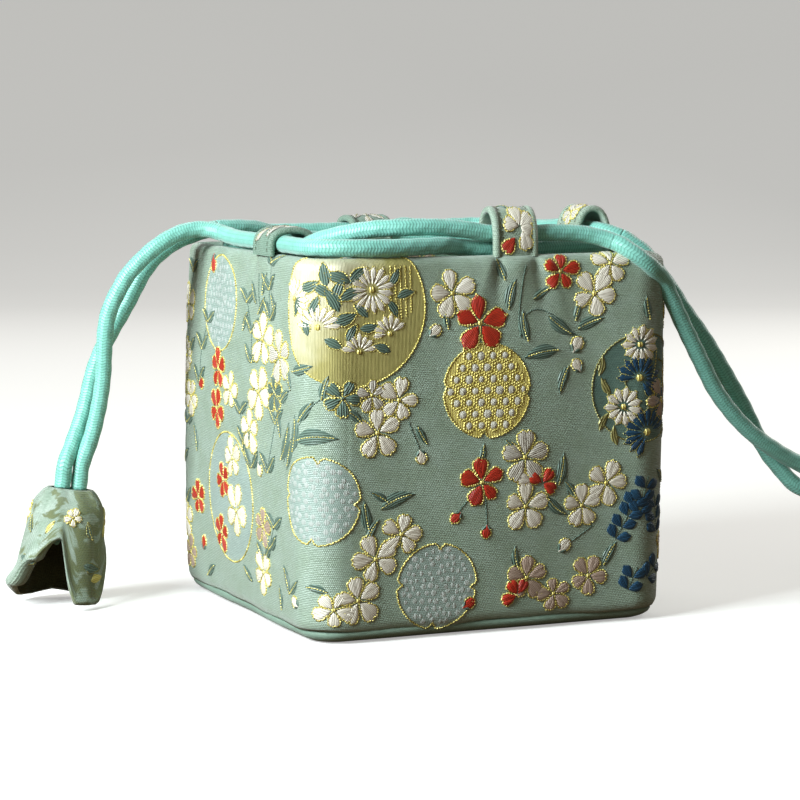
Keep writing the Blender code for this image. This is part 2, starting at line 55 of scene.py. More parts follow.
# Padding: how far a wall bows out, and how far the corners swell past the plain plan, in
# millimetres: front right, back right, back left, front left, each at foot, middle and shoulder.
WALL_BOW, BOW_FOOT = 2.0 * MM, 4.2 * MM
CORNER_SWELL = ((1.0, 2.3, 2.6), (0.6, 1.4, 0.8), (0.2, 0.8, -0.9), (0.5, 1.2, 0.4))
CORNER_SPREAD = 17 * MM
RIPPLE, WAVE, FOOT_TUCK, FOOT_SAG = 0.22 * MM, 0.12 * MM, 0.9 * MM, 0.32 * MM

# Each loop's wall, its place on that wall, and how deep it pulls the cloth beside it.
LOOPS = {"front": (0, 7.5 * MM, 1.0), "right": (1, -16 * MM, 1.0),
         "back": (2, -4 * MM, 0.5), "left": (3, 18.5 * MM, 0.5)}

# The bellflowers: sizes, and where down their length the shoulder and belly lie.
BELL_LENGTH, BELL_CLOTH = 33 * MM, 1.25 * MM
NECK_WIDE, NECK_THIN = 5.75 * MM, 3.15 * MM
BELL_SHOULDER, BELL_BELLY, BELL_MOUTH = 9.6 * MM, 11.6 * MM, 13.8 * MM
SHOULDER_SHARE, BELLY_SHARE, HEM_SHARE = 0.22, 0.65, 0.97
PETAL_COUNT, PETAL_TURN = 4, math.pi / 2
NOTCH_SHARE, NOTCH_HALF_WIDTH = 0.56, math.radians(37)

# The camera that took the photograph, as fitted.
CAMERA_PLACE = (-0.3226, -0.7304, 0.147)
CAMERA_YAW, CAMERA_PITCH, CAMERA_LENS = math.radians(23.52), math.radians(6.19), 121.7

chance = np.random.default_rng(7)


def rad(degrees):
    return math.radians(degrees)


def hump(away, width):
    """1 where away is 0, falling smoothly to 0 past this width."""
    return np.exp(-((away / width) ** 2))


# Materials

def shade(colour):
    """A colour as the eye names it, 0 to 255, as the shader's linear colour."""
    return tuple(((c / 255 + 0.055) / 1.055) ** 2.4 if c > 10 else c / 3294.6 for c in colour) + (1.0,)


class Nodes:
    """A node tree that is filled by short calls."""

    def __init__(self, tree):
        self.tree = tree

    def add(self, kind, values=None, **settings):
        """A new node of this kind, with values or links for its inputs."""
        node = self.tree.nodes.new(kind if kind.startswith("NodeGroup") else f"ShaderNode{kind}")
        for name, value in settings.items():
            setattr(node, name, value)
        for name, value in (values or {}).items():
            self.feed(node.inputs[name], value)
        return node

    def feed(self, socket, value):
        if isinstance(value, bpy.types.NodeSocket):
            self.tree.links.new(value, socket)
        else:
            socket.default_value = value

    def math(self, operation, *values):
        return self.add("Math", dict(enumerate(values)), operation=operation).outputs[0]

    def plus(self, first, second):
        return self.math("ADD", first, second)

    def minus(self, first, second):
        return self.math("SUBTRACT", first, second)

    def times(self, first, second):
        return self.math("MULTIPLY", first, second)

    def over(self, first, second):
        return self.math("DIVIDE", first, second)

    def ridge(self, count):
        """A rounded ridge over each whole number."""
        return self.math("ABSOLUTE", self.math("SINE", self.times(count, math.pi)))

    def wave(self, count):
        return self.math("SINE", self.times(count, FULL_TURN))

    def mix(self, share, first, second):
        return self.add("Mix", {0: share, 6: first, 7: second}, data_type="RGBA").outputs[2]

    def noise(self, place, scale, detail=2.0):
        return self.add("TexNoise", {"Vector": place, "Scale": scale, "Detail": detail}).outputs[0]

    def span(self, value, low, high):
        """Brings a value from low..high to 0..1."""
        return self.add("MapRange", {0: value, 1: low, 2: high}).outputs[0]

    def split(self, place):
        return self.add("SeparateXYZ", {0: place}).outputs

    def stretch(self, place, by):
        return self.add("VectorMath", {0: place, 1: by}, operation="MULTIPLY").outputs[0]


def group(name, pitch_name, pitch, results):
    """An empty shader group: a place in the cloth and a pitch in, these numbers out."""
    tree = bpy.data.node_groups.new(name, "ShaderNodeTree")
    tree.interface.new_socket("Thread place", in_out="INPUT", socket_type="NodeSocketVector")
    socket = tree.interface.new_socket(pitch_name, in_out="INPUT", socket_type="NodeSocketFloat")
    socket.default_value = pitch
    for title in results:
        tree.interface.new_socket(title, in_out="OUTPUT", socket_type="NodeSocketFloat")
    nodes = Nodes(tree)
    given = nodes.add("NodeGroupInput").outputs
    return nodes, given[0], given[1], nodes.add("NodeGroupOutput").inputs


def make_weave_group():
    """Crossing threads in millimetres of cloth: ribs across, finer warp, broken into floats."""
    nodes, place, pitch, out = group("woven threads", "Rib pitch", 0.5, ("Height", "Slub"))
    across, up, _ = nodes.split(place)
    wander = nodes.times(nodes.minus(nodes.noise(place, 0.9), 0.5), 0.35)
    ribs = nodes.plus(nodes.over(up, pitch), wander)
    warps = nodes.plus(nodes.over(across, 0.5), nodes.times(nodes.math("FLOOR", ribs), 0.37))
    floats = nodes.noise(nodes.stretch(place, (0.55, 2.6, 1.0)), 1.3, 1.0)
    threads = nodes.plus(nodes.times(nodes.wave(ribs), 0.36), nodes.times(nodes.wave(warps), 0.3))
    nodes.feed(out["Height"], nodes.plus(threads, nodes.times(floats, 1.5)))
    nodes.feed(out["Slub"], nodes.span(nodes.noise(place, 0.16), 0.35, 0.65))
    return nodes.tree


def make_satin_group():
    """Long smooth threads that lie side by side, each a little darker or lighter."""
    nodes, place, pitch, out = group("satin threads", "Thread pitch", 0.42, ("Height", "Thread", "Piece"))
    across, _, number = nodes.split(place)
    each = nodes.noise(nodes.stretch(place, (2.4, 0.25, 7.0)), 1.0, 1.0)
    piece = nodes.add("TexWhiteNoise", {"W": nodes.math("FLOOR", number)}, noise_dimensions="1D")
    nodes.feed(out["Height"], nodes.plus(nodes.ridge(nodes.over(across, pitch)), nodes.times(each, 0.6)))
    nodes.feed(out["Thread"], nodes.span(each, 0.3, 0.7))
    nodes.feed(out["Piece"], piece.outputs["Value"])
    return nodes.tree


def make_braid_group():
    """A round braid: V-shaped rows of thread bundles along the cord."""
    nodes, place, pitch, out = group("cord braid", "Row pitch", 0.85, ("Height", "Groove shade", "Slub"))
    across, along, _ = nodes.split(place)
    fold = nodes.math("PINGPONG", nodes.times(across, 6.0), 0.5)
    bundle = nodes.ridge(nodes.plus(nodes.over(along, pitch), fold))
    edge = nodes.times(nodes.math("ABSOLUTE", nodes.minus(fold, 0.25)), 4.0)
    soft = nodes.minus(1.0, nodes.math("POWER", edge, 3.0))
    height = nodes.times(nodes.math("POWER", bundle, 0.6), nodes.plus(nodes.times(soft, 0.5), 0.5))
    nodes.feed(out["Height"], height)
    # Low between the bundles the cord's dark shade goes in, as painted shade of the grooves.
    nodes.feed(out["Groove shade"], nodes.span(height, 0.1, 0.75))
    nodes.feed(out["Slub"], nodes.span(nodes.noise(place, 0.5), 0.3, 0.7))
    return nodes.tree


def start_material(name, threads, pitch):
    """A material's nodes and shader, the place in its cloth, and what its thread group gives."""
    material = bpy.data.materials.new(name)
    material.use_nodes = True
    nodes = Nodes(material.node_tree)
    nodes.tree.nodes.clear()
    shader = nodes.add("BsdfPrincipled")
    nodes.feed(nodes.add("OutputMaterial").inputs[0], shader.outputs[0])
    place = nodes.add("Attribute", attribute_name="thread").outputs["Vector"]
    given = nodes.add("Group", {0: place, 1: pitch}, node_tree=threads).outputs
    return material, nodes, shader, place, given


def finish_cloth(nodes, shader, color, height, rough, depth, sheen, distance=0.25 * MM, gloss=0.4):
    bump = nodes.add("Bump", {"Strength": depth, "Distance": distance, "Height": height})
    for name, value in (("Base Color", color), ("Roughness", rough), ("Specular IOR Level", gloss),
                        ("Sheen Weight", sheen), ("Sheen Roughness", 0.45), ("Normal", bump.outputs[0])):
        nodes.feed(shader.inputs[name], value)


def woven(name, dark, main, light, rough=0.55, rib=0.5, depth=0.55, sheen=0.15, gloss=0.3, olive_patches_and_shade=None):
    """A woven cloth of three near shades, and on a bellflower olive patches of its pattern that crowd to its
    shaded side, partly as painted shade.
    """
    material, nodes, shader, place, given = start_material(name, WEAVE, rib)
    body = nodes.mix(given["Slub"], shade(main), shade(light))
    if olive_patches_and_shade:
        # The patches gather on the flap that lies in shade: partly olive pattern, partly painted shade.
        turn = nodes.over(nodes.split(place)[0], BELL_BELLY / MM)
        side = nodes.math("SINE", nodes.minus(turn, rad(240)))
        patchy = nodes.plus(nodes.noise(place, 0.2, 3.0), nodes.times(side, 0.11))
        body = nodes.mix(nodes.span(patchy, 0.5, 0.57), body, shade(olive_patches_and_shade))
    color = nodes.mix(nodes.span(given["Height"], -0.1, 1.35), shade(dark), body)
    finish_cloth(nodes, shader, color, given["Height"], rough, depth, sheen, gloss=gloss)
    return material


def satin(name, dark, main, light, pitch=0.42, depth=0.55):
    """Padded satin figures, each with its own slight shade."""
    material, nodes, shader, _, given = start_material(name, SATIN, pitch)
    body = nodes.mix(given["Piece"], shade(main), shade(light))
    color = nodes.mix(nodes.span(given["Height"], 0.0, 1.2), shade(dark), body)
    finish_cloth(nodes, shader, color, given["Height"], 0.45, depth, 0.1)
    return material


def gold(name, dark, main, light, pitch, rough, metallic, depth=0.8, pale=None):
    """Gold-wrapped thread, beaded where it crosses the ground, and paler to one side if asked."""
    material, nodes, shader, place, given = start_material(name, SATIN, pitch)
    body = nodes.mix(given["Thread"], shade(main), shade(light))
    if pale:
        across, up, _ = nodes.split(place)
        slope = nodes.minus(nodes.times(up, 0.6), nodes.times(across, 0.9))
        patchy = nodes.plus(slope, nodes.times(nodes.noise(place, 0.22), 12.0))
        body = nodes.mix(nodes.span(patchy, 3.0, 16.0), body, shade(pale))
    color = nodes.mix(nodes.span(given["Height"], 0.15, 0.9), shade(dark), body)
    finish_cloth(nodes, shader, color, given["Height"], rough, depth, 0.0)
    shader.inputs["Metallic"].default_value = metallic
    return material


def braided(name, dark, main, light):
    material, nodes, shader, _, given = start_material(name, BRAID, 0.85)
    body = nodes.mix(given["Slub"], shade(main), shade(light))
    # Painted shade: the dark shade fills the grooves between bundles.
    color = nodes.mix(given["Groove shade"], shade(dark), body)
    finish_cloth(nodes, shader, color, given["Height"], 0.42, 0.4, 0.3, 0.22 * MM, 0.5)
    return material


def make_materials():
    """Every material, each from its name, its dark, main and light shade, and how it differs."""
    table = (
        ("jade", woven, "jade brocade ground", (102, 122, 104), (153, 174, 154), (166, 187, 172),
         {"rough": 0.42, "sheen": 0.35, "gloss": 0.6}),
        # The jade brocade again in darker shades: painted shade, for the strip inside the mouth and the back
        # and left loops.
        ("jade_painted_shade", woven, "jade brocade in painted shade", (84, 108, 92), (126, 152, 136), (140, 166, 150), {}),
        ("plain", woven, "plain jade cloth", (92, 116, 100), (134, 160, 144), (146, 172, 156),
         {"depth": 0.35}),
        ("lining", woven, "pale green lining", (132, 152, 112), (168, 186, 142), (178, 194, 152),
         {"rib": 0.45, "depth": 0.3}),
        ("wadding", woven, "soft wadding", (200, 198, 190), (232, 230, 222), (240, 238, 232),
         {"rough": 0.95, "rib": 2.2}),
        ("board", woven, "greyboard", (120, 112, 100), (146, 138, 126), (154, 146, 132),
         {"rough": 0.85, "rib": 1.4, "depth": 0.15, "sheen": 0.0}),
        ("white", satin, "ivory satin figures", (158, 152, 130), (228, 222, 206), (242, 238, 226), {}),
        ("hatched", satin, "grey hatched figures", (136, 138, 124), (196, 190, 178), (206, 202, 192),
         {"pitch": 0.55}),
        ("red", satin, "vermilion satin figures", (96, 22, 12), (184, 44, 22), (202, 56, 30), {}),
        ("beige", satin, "fawn satin figures", (112, 94, 80), (176, 154, 138), (190, 168, 152), {}),
        ("blue", satin, "ink blue satin figures", (8, 30, 48), (26, 66, 96), (34, 80, 110), {}),
        ("leaf", satin, "grey green leaves", (46, 66, 56), (90, 114, 102), (108, 132, 120),
         {"pitch": 0.62, "depth": 0.8}),
        ("silver", satin, "silver dots", (136, 148, 142), (178, 188, 182), (190, 198, 194), {"pitch": 0.4}),
        ("dim_silver", satin, "grey dots of the gold round", (150, 148, 130), (202, 200, 186),
         (214, 212, 200), {"pitch": 0.4}),
        ("gold_line", gold, "gold outline thread", (104, 92, 36), (206, 190, 92), (236, 224, 140),
         {"pitch": 0.75, "rough": 0.35, "metallic": 0.25}),
        ("gold_cloth", gold, "gold woven round", (140, 126, 52), (214, 200, 108), (236, 224, 142),
         {"pitch": 0.5, "rough": 0.42, "metallic": 0.2, "depth": 0.5}),
        ("olive", gold, "olive gold round", (124, 120, 70), (164, 158, 96), (182, 174, 110),
         {"pitch": 0.4, "rough": 0.45, "metallic": 0.2, "depth": 0.4, "pale": (216, 214, 186)}),
        ("dim_gold", gold, "dim gold thread", (70, 72, 44), (140, 138, 84), (160, 156, 100),
         {"pitch": 0.75, "rough": 0.45, "metallic": 0.25}),
        # Sewing thread, made dark partly as painted shade of the groove by each folded edge of a loop.
        ("stitch", gold, "sewing thread darkened as painted groove shade", (40, 48, 36), (66, 78, 60), (78, 90, 70),
         {"pitch": 0.9, "rough": 0.6, "metallic": 0.0}),
        # A bluish teal round, darker than the ground partly in its own colour and partly as painted shade.
        ("deep_round", woven, "teal round in painted shade", (62, 88, 80), (92, 122, 112), (106, 134, 122),
         {"depth": 0.35, "rough": 0.45, "sheen": 0.25, "gloss": 0.5}),
        # Turquoise cord: its dark shade is painted shade in the braid's grooves.
        ("cord", braided, "turquoise braided cord", (90, 150, 136), (122, 190, 175), (134, 202, 190), {}),
        # Bellflower cloth: olive patches crowd onto its shaded flap, partly pattern and partly painted shade.
        ("bell_cloth", woven, "jade cloth of the bellflower", (96, 114, 94), (160, 182, 164),
         (190, 206, 194), {"rough": 0.45, "sheen": 0.3, "gloss": 0.5, "olive_patches_and_shade": (116, 122, 72)}),
        # Inside of the bellflower: olive cloth made very dark as painted shade.
        ("bell_inside_painted_shade", woven, "olive cloth inside the bellflower in painted shade", (40, 44, 26), (70, 76, 46),
         (82, 88, 56), {"rough": 0.7}),
        ("jade_round", woven, "smooth jade round", (116, 136, 128), (156, 176, 168), (166, 186, 178),
         {"depth": 0.35, "rough": 0.4, "sheen": 0.3, "gloss": 0.6}),
    )
    return {key: make(name, *shades, **more) for key, make, name, *shades, more in table}


# Meshes and surfaces

def make_mesh(name, verts, faces, thread, material):
    """A smooth mesh from arrays. thread is each vertex's or corner's place in the cloth, in millimetres."""
    mesh = bpy.data.meshes.new(name)
    verts, thread = (np.asarray(x, np.float32).reshape(-1, 3) for x in (verts, thread))
    faces = np.asarray(faces, np.int32)
    mesh.vertices.add(len(verts))
    mesh.vertices.foreach_set("co", verts.ravel())
    mesh.loops.add(faces.size)
    mesh.loops.foreach_set("vertex_index", faces.ravel())
    mesh.polygons.add(len(faces))
    mesh.polygons.foreach_set("loop_start", np.arange(0, faces.size, faces.shape[1], dtype=np.int32))
    mesh.polygons.foreach_set("loop_total", np.full(len(faces), faces.shape[1], np.int32))
    mesh.update(calc_edges=True)
    domain = "CORNER" if len(thread) == faces.size and len(thread) != len(verts) else "POINT"
    mesh.attributes.new("thread", "FLOAT_VECTOR", domain).data.foreach_set("vector", thread.ravel())
    mesh.validate()
    mesh.shade_smooth()
    mesh.materials.append(MATERIALS[material])
    piece = bpy.data.objects.new(name, mesh)
    bpy.context.scene.collection.objects.link(piece)
    return piece


def place_piece(piece, body, slot, *nodes):
    """Says which body a piece rides on and which solids it stands for; slot, what it is made of, is not used.
    """
    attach(piece, body)
    if nodes:
        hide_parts(*nodes)


def grid_faces(rows, columns, wrap=False, flip=False):
    """Quads of a grid of points given row by row."""
    across = columns if wrap else columns - 1
    row, column = np.meshgrid(np.arange(rows - 1), np.arange(across), indexing="ij")
    row, column = row.ravel(), column.ravel()
    beside = (column + 1) % columns
    quads = np.stack([row * columns + column, row * columns + beside,
                      (row + 1) * columns + beside, (row + 1) * columns + column], axis=1)
    return quads[:, ::-1] if flip else quads


def thicken(piece, thickness, offset=-1.0):
    cloth = piece.modifiers.new("cloth", "SOLIDIFY")
    cloth.thickness, cloth.offset = thickness, offset
    return piece


def ring_of(columns):
    """Ways round the bag at even steps."""
    return np.arange(columns) * GIRTH / columns


def plan(around):
    """Place and outward direction in plan at this way round, and the way along the wall."""
    around = np.asarray(around, float)
    wall = np.floor((around + STRAIGHT) / QUARTER)
    way = around + STRAIGHT - wall * QUARTER
    turn = np.clip((way - 2 * STRAIGHT) / CORNER, 0, math.pi / 2)
    along = np.minimum(way, 2 * STRAIGHT) - STRAIGHT + CORNER * np.sin(turn)
    out = STRAIGHT + CORNER * np.cos(turn)
    angle = wall * math.pi / 2
    cos, sin = np.cos(angle), np.sin(angle)
    return (along * cos + out * sin, along * sin - out * cos,
            np.sin(turn) * cos + np.cos(turn) * sin, np.sin(turn) * sin - np.cos(turn) * cos, along)


def inward(around, inset, height):
    """Points this far inside the plain plan, at this height."""
    x, y, nx, ny, _ = plan(around)
    return np.stack(np.broadcast_arrays(x - nx * inset, y - ny * inset, height), axis=-1)


def way_from(around, place):
    """The signed way round from a place, the short way."""
    return (around - place + GIRTH / 2) % GIRTH - GIRTH / 2


def swell(around, up):
    """How far the padded wall stands out of its plain plan."""
    along = plan(around)[4]
    share = np.clip((up - BOW_FOOT) / (SHOULDER - BOW_FOOT), 0, 1)
    across = np.cos(math.pi / 2 * np.minimum(np.abs(along) / (SIDE / 2 - CORNER / 2), 1))
    out = WALL_BOW * np.sin(math.pi * share) ** 0.8 * across**1.5
    for number, (foot, middle, top) in enumerate(CORNER_SWELL):
        away = way_from(around, STRAIGHT + CORNER * math.pi / 4 + number * QUARTER)
        height = foot * (1 - share) * (1 - 2 * share) + middle * 4 * share * (1 - share)
        out += (height + top * share * (2 * share - 1)) * MM * hump(away, CORNER_SPREAD)
    down = np.clip(SHOULDER - up, 0, None)
    for number, place, deep in LOOPS.values():
        away = way_from(around, place + number * QUARTER)
        edge = LOOP_WIDTH / 2 - 1.0 * MM
        for side in (-1, 1):
            fold = hump(away - side * (edge + 0.12 * down), 1.5 * MM) * np.exp(-down / (7 * MM))
            ridge = hump(away - side * (edge + 3.4 * MM + 0.3 * down), 2.0 * MM) * np.exp(-down / (9 * MM))
            out += deep * (0.5 * ridge - 0.9 * fold) * MM
        out += deep * 0.5 * MM * hump(away, 3 * MM) * np.exp(-down / (6 * MM))
    spread = FULL_TURN * around / GIRTH
    ripple = (np.sin(11 * spread + 1.1) + 0.7 * np.sin(19 * spread + 0.4 + 30 * up)
              + 0.5 * np.sin(31 * spread + 2.0 - 40 * up))
    out += RIPPLE * ripple * np.exp(-down / (16 * MM))
    out += WAVE * np.sin(13 * spread + 55 * up) * np.sin(90 * up + 5 * spread)
    return out - FOOT_TUCK * np.clip(1 - (up - FOOT) / (2.6 * MM), 0, 1) ** 2


def on_wall(around, up, lift=0.0):
    """A point of the outer cloth and its turn over the rim, lifted off it by this much."""
    around, up = np.broadcast_arrays(np.asarray(around, float), np.asarray(up, float))
    turn = np.clip((up - SHOULDER) / RIM, 0, math.pi / 2 + 0.3)
    out = swell(around, np.minimum(up, SHOULDER)) * np.cos(turn) - RIM * (1 - np.cos(turn))
    spread = FULL_TURN * around / GIRTH
    sag = np.sin(7 * spread + 0.8) + 0.6 * np.sin(17 * spread + 2.1)
    height = np.minimum(up, SHOULDER) + RIM * np.sin(turn)
    height = height + FOOT_SAG * sag * np.clip(1 - up / (14 * MM), 0, 1)
    return inward(around, -(out + lift * np.cos(turn)), height + lift * np.sin(turn))


def on_facing(around, down, lift=0.0):
    """A point of the strip inside the mouth: down is the way from the rim's seam."""
    around, down = np.broadcast_arrays(np.asarray(around, float), np.asarray(down, float))
    flat = WALL - MOUTH_ROUND - RIM
    turn = np.clip((down - flat) / MOUTH_ROUND, 0, math.pi / 2)
    below = np.clip(down - flat - MOUTH_ROUND * math.pi / 2, 0, None)
    wave = 0.25 * MM * np.sin(26 * FULL_TURN * around / GIRTH + 90 * down) * np.clip(down / (8 * MM), 0, 1)
    inset = RIM + np.minimum(down, flat) + MOUTH_ROUND * np.sin(turn) + lift * np.sin(turn) + wave
    return inward(around, inset, HEIGHT - MOUTH_ROUND * (1 - np.cos(turn)) - below + lift * np.cos(turn))


def walked_along(line):
    return np.concatenate([[0], np.cumsum(np.linalg.norm(np.diff(line, axis=0), axis=1))])


def resampled(line, walked, at):
    return np.stack([np.interp(at, walked, line[:, k]) for k in range(line.shape[1])], axis=1)


def spaced(line, step):
    """The same line with points one step apart, and how far along it each lies."""
    walked = walked_along(line)
    at = np.linspace(0, walked[-1], max(int(round(walked[-1] / step)), 2) + 1)
    return resampled(line, walked, at), at


def softened(line, rounds):
    line = line.copy()
    for _ in range(rounds):
        line[1:-1] = 0.5 * line[1:-1] + 0.25 * (line[:-2] + line[2:])
    return line


def curve_through(points):
    """A fine smooth line through the points."""
    points = np.asarray(points, float)
    padded = np.vstack([2 * points[:1] - points[1:2], points, 2 * points[-1:] - points[-2:-1]])
    t = (np.arange(16) / 16)[:, None]
    fine = []
    for a, b, c, d in zip(padded, padded[1:], padded[2:], padded[3:]):
        bend, twist = 2 * a - 5 * b + 4 * c - d, 3 * b - a - 3 * c + d
        fine.append(0.5 * (2 * b + (c - a) * t + bend * t**2 + twist * t**3))
    return np.vstack(fine + [points[-1:]])


# Figures of the brocade

class Figures:
    """Raised figures on one surface, gathered into one mesh for each kind of thread.

    patch, petal, line, dot, flower and leaf take metres and radians. The others take rows of
    millimetres and degrees, from where this repeat of the pattern starts.
    """

    def __init__(self, name, surface, highest, shift=0.0):
        self.name, self.surface, self.highest, self.shift = name, surface, highest, shift
        self.sheets = {}
        self.count = 0

    def spot(self, x, y):
        return x * MM + self.shift, y * MM

    def patch(self, kind, across, up, lift, thread_x, thread_y):
        """A grid of points, rows by columns, in the surface's own two lengths."""
        self.count += 1
        own_shade = np.full(across.shape, self.count % 97 + 0.5)
        thread = np.stack([thread_x / MM, thread_y / MM, own_shade], axis=-1)
        quads = grid_faces(*across.shape)
        quads = quads[(up.ravel()[quads] <= self.highest).all(axis=1)]
        if len(quads):
            parts = self.sheets.setdefault(kind, [[], [], [], 0])
            parts[0].append(self.surface(across, up, lift).reshape(-1, 3))
            parts[1].append(quads + parts[3])
            parts[2].append(thread.reshape(-1, 3))
            parts[3] += across.size

    def petal(self, kind, centre, angle, length, width, tip=0.0, start=0.08, pad=0.42 * MM,
              widest=0.66, blunt=0.0, bend=0.0, steps=(11, 9)):
        """A padded petal or leaf, and its edge. Blunt ends keep a share of their width; tip notches them."""
        along = np.linspace(0, 1, steps[0])[:, None]
        side = np.linspace(-1, 1, steps[1])[None, :]
        inner = np.sin(math.pi / 2 * np.clip(along / widest, 0, 1)) ** 0.85
        past = np.clip((along - widest) / (1 - widest), 0, 1)
        outer = np.sqrt(1 - past**2 * (1 - blunt**2)) if blunt else 1 - past**1.7
        half = width / 2 * np.maximum(np.where(along < widest, inner, outer), 0.03)
        ends = tip * (1 - np.abs(side)) ** 1.4 + 0.16 * (blunt > 0) * np.abs(side) ** 3
        reach = np.broadcast_to(start + (1 - start) * (along - ends * along**4), steps) * length
        offset = half * side + bend * length * np.sin(math.pi * along)
        cos, sin = math.cos(angle), math.sin(angle)
        across = centre[0] + cos * reach - sin * offset
        up = centre[1] + sin * reach + cos * offset
        crease = 1 - 0.4 * hump(side, 0.14) * (along > 0.25)
        dome = (1 - side**2) ** 0.5 * np.sin(math.pi * np.clip(along, 0.02, 0.98)) ** 0.4
        self.patch(kind, across, up, 0.06 * MM + pad * crease * dome, half * side, reach)
        edge = [(across[i, 0], up[i, 0]) for i in range(2, steps[0])]
        edge += [(across[-1, j], up[-1, j]) for j in range(1, steps[1] - 1)]
        return edge + [(across[i, -1], up[i, -1]) for i in reversed(range(2, steps[0]))]

    def line(self, kind, points, width=0.6 * MM, high=0.4 * MM, bead=0.84 * MM):
        """A thread laid along points, pinched where the ground's threads hold it down."""
        points = np.asarray(points, float)
        walked = walked_along(points)
        at = np.linspace(0, walked[-1], max(int(walked[-1] / (bead / 3)), 2) + 1)
        points = resampled(points, walked, at)
        way = np.gradient(points, axis=0)
        way /= np.maximum(np.linalg.norm(way, axis=1, keepdims=True), 1e-9)
        full = 0.7 + 0.3 * np.cos(FULL_TURN * at / bead)[:, None]
        side = np.array([-1, -0.6, 0.6, 1.0])[None, :] * width / 2 * full
        side = side + 0.16 * width * np.sin(math.pi * at / bead)[:, None]
        across = points[:, :1] - way[:, 1:] * side
        up = points[:, 1:] + way[:, :1] * side
        lift = np.array([0.02, 0.95, 0.95, 0.02])[None, :] * high * full
        self.patch(kind, across, up, lift, np.broadcast_to(at[:, None], across.shape), side)

    def dot(self, kind, centre, radius, high=0.45 * MM, around=8, stretch=1.0):
        ring = np.linspace(1, 0, 4)[:, None]
        turn = np.linspace(0, FULL_TURN, around + 1)[None, :]
        across = centre[0] + radius * ring * np.cos(turn) * stretch
        up = centre[1] + radius * ring * np.sin(turn)
        lift = 0.05 * MM + high * np.sqrt(np.clip(1 - ring**2, 0, 1)) * np.ones_like(turn)
        self.patch(kind, across, up, lift, across - centre[0], up - centre[1])

    def flower(self, kind, centre, size, turn=0.0, tip=0.16, fat=1.0, blunt=0.5, heart="gold_line"):
        """Five padded petals edged in gold, with gold threads between them and a heart."""
        for number in range(5):
            angle = turn + FULL_TURN * number / 5 + chance.uniform(-0.12, 0.12)
            reach = size * chance.uniform(0.9, 1.14)
            width = reach * math.sin(math.pi / 5) * 1.08 * fat * chance.uniform(0.9, 1.1)
            notch = tip * chance.uniform(0.5, 1.5)
            edge = self.petal(kind, centre, angle, reach, width, tip=notch, start=0.13, blunt=blunt)
            self.line("gold_line", edge)
            way = (math.cos(angle + math.pi / 5), math.sin(angle + math.pi / 5))
            thread = [(centre[0] + size * t * way[0], centre[1] + size * t * way[1]) for t in (0.06, 0.5)]
            self.line("gold_line", thread, 0.42 * MM, 0.34 * MM)
        self.dot(heart, centre, size * 0.1, 0.45 * MM)

    def leaf(self, centre, angle, length, width=None, kind="leaf", vein="gold_line", outline=None):
        """A pointed, slightly bent leaf with its vein."""
        cos, sin = math.cos(angle), math.sin(angle)
        foot = (centre[0] - cos * length / 2, centre[1] - sin * length / 2)
        bend = chance.uniform(-0.09, 0.09)
        edge = self.petal(kind, foot, angle, length, width or length * 0.38, start=0.0, pad=0.3 * MM,
                          widest=0.42, bend=bend)
        if outline:
            self.line(outline, edge, 0.46 * MM)
        if vein:
            bent = [(t, bend * math.sin(math.pi * t)) for t in (0.02, 0.25, 0.5, 0.72, 0.9)]
            middle = [(foot[0] + length * (cos * t - sin * b), foot[1] + length * (sin * t + cos * b))
                      for t, b in bent]
            self.line(vein, middle, 0.46 * MM, 0.5 * MM)

    def discs(self, kind, *rows, lift=0.1, outline="gold_line", notches=0):
        """Flat woven rounds (x, y, radius), their edges notched like a basket's where asked."""
        for x, y, radius in rows:
            centre, radius = self.spot(x, y), radius * MM
            turn = np.linspace(0, FULL_TURN, 145)[None, :]
            edge = 1 - 0.15 * (notches > 0) * hump(np.sin(turn * notches / 2 + 0.16), 0.13)
            ring = np.linspace(0.001, 1, max(int(radius / (0.9 * MM)), 3))[::-1, None]
            across = centre[0] + radius * edge * ring * np.cos(turn)
            up = centre[1] + radius * edge * ring * np.sin(turn)
            high = np.where(ring > 0.995, 0.02 * MM, lift * MM) * np.ones_like(turn)
            self.patch(kind, across, up, high, across - centre[0], up - centre[1])
            self.line(outline, np.stack([across[0], up[0]], axis=1), 0.6 * MM, 0.38 * MM)

    def flowers(self, *rows, **more):
        """Blossoms: kind, x, y, size, turn."""
        for kind, x, y, size, turn in rows:
            self.flower(kind, self.spot(x, y), size * MM, rad(turn), **more)

    def leaves(self, *rows, broad=None, **more):
        """Leaves: x, y, turn, length, each this share as broad as it is long."""
        for x, y, turn, size in rows:
            self.leaf(self.spot(x, y), rad(turn), size * MM, broad and size * broad * MM, **more)

    def daisies(self, kind, *rows, outline="gold_line"):
        """Chrysanthemums: x, y, size, petals, and the turns that they span where not all round."""
        for x, y, size, petals, *turns in rows:
            centre, size = self.spot(x, y), size * MM
            start, end = (rad(turn) for turn in turns or (0, 360))
            for number in range(petals):
                angle = start + (end - start) * (number + 0.5) / petals
                width = size * 1.42 * math.sin((end - start) / petals / 2)
                edge = self.petal(kind, centre, angle, size * chance.uniform(0.92, 1.05), width, start=0.24,
                                  pad=0.36 * MM, widest=0.74, blunt=0.3, steps=(7, 5))
                self.line(outline, edge, 0.34 * MM, 0.34 * MM)
            self.dot("gold_line", centre, size * 0.15, 0.42 * MM)

    def stems(self, *lines):
        for points in lines:
            points = np.array([self.spot(*point) for point in points])
            if len(points) > 2:
                points = curve_through(np.pad(points, ((0, 0), (0, 1))))[:, :2]
            self.line("leaf", points, 0.5 * MM, 0.22 * MM)

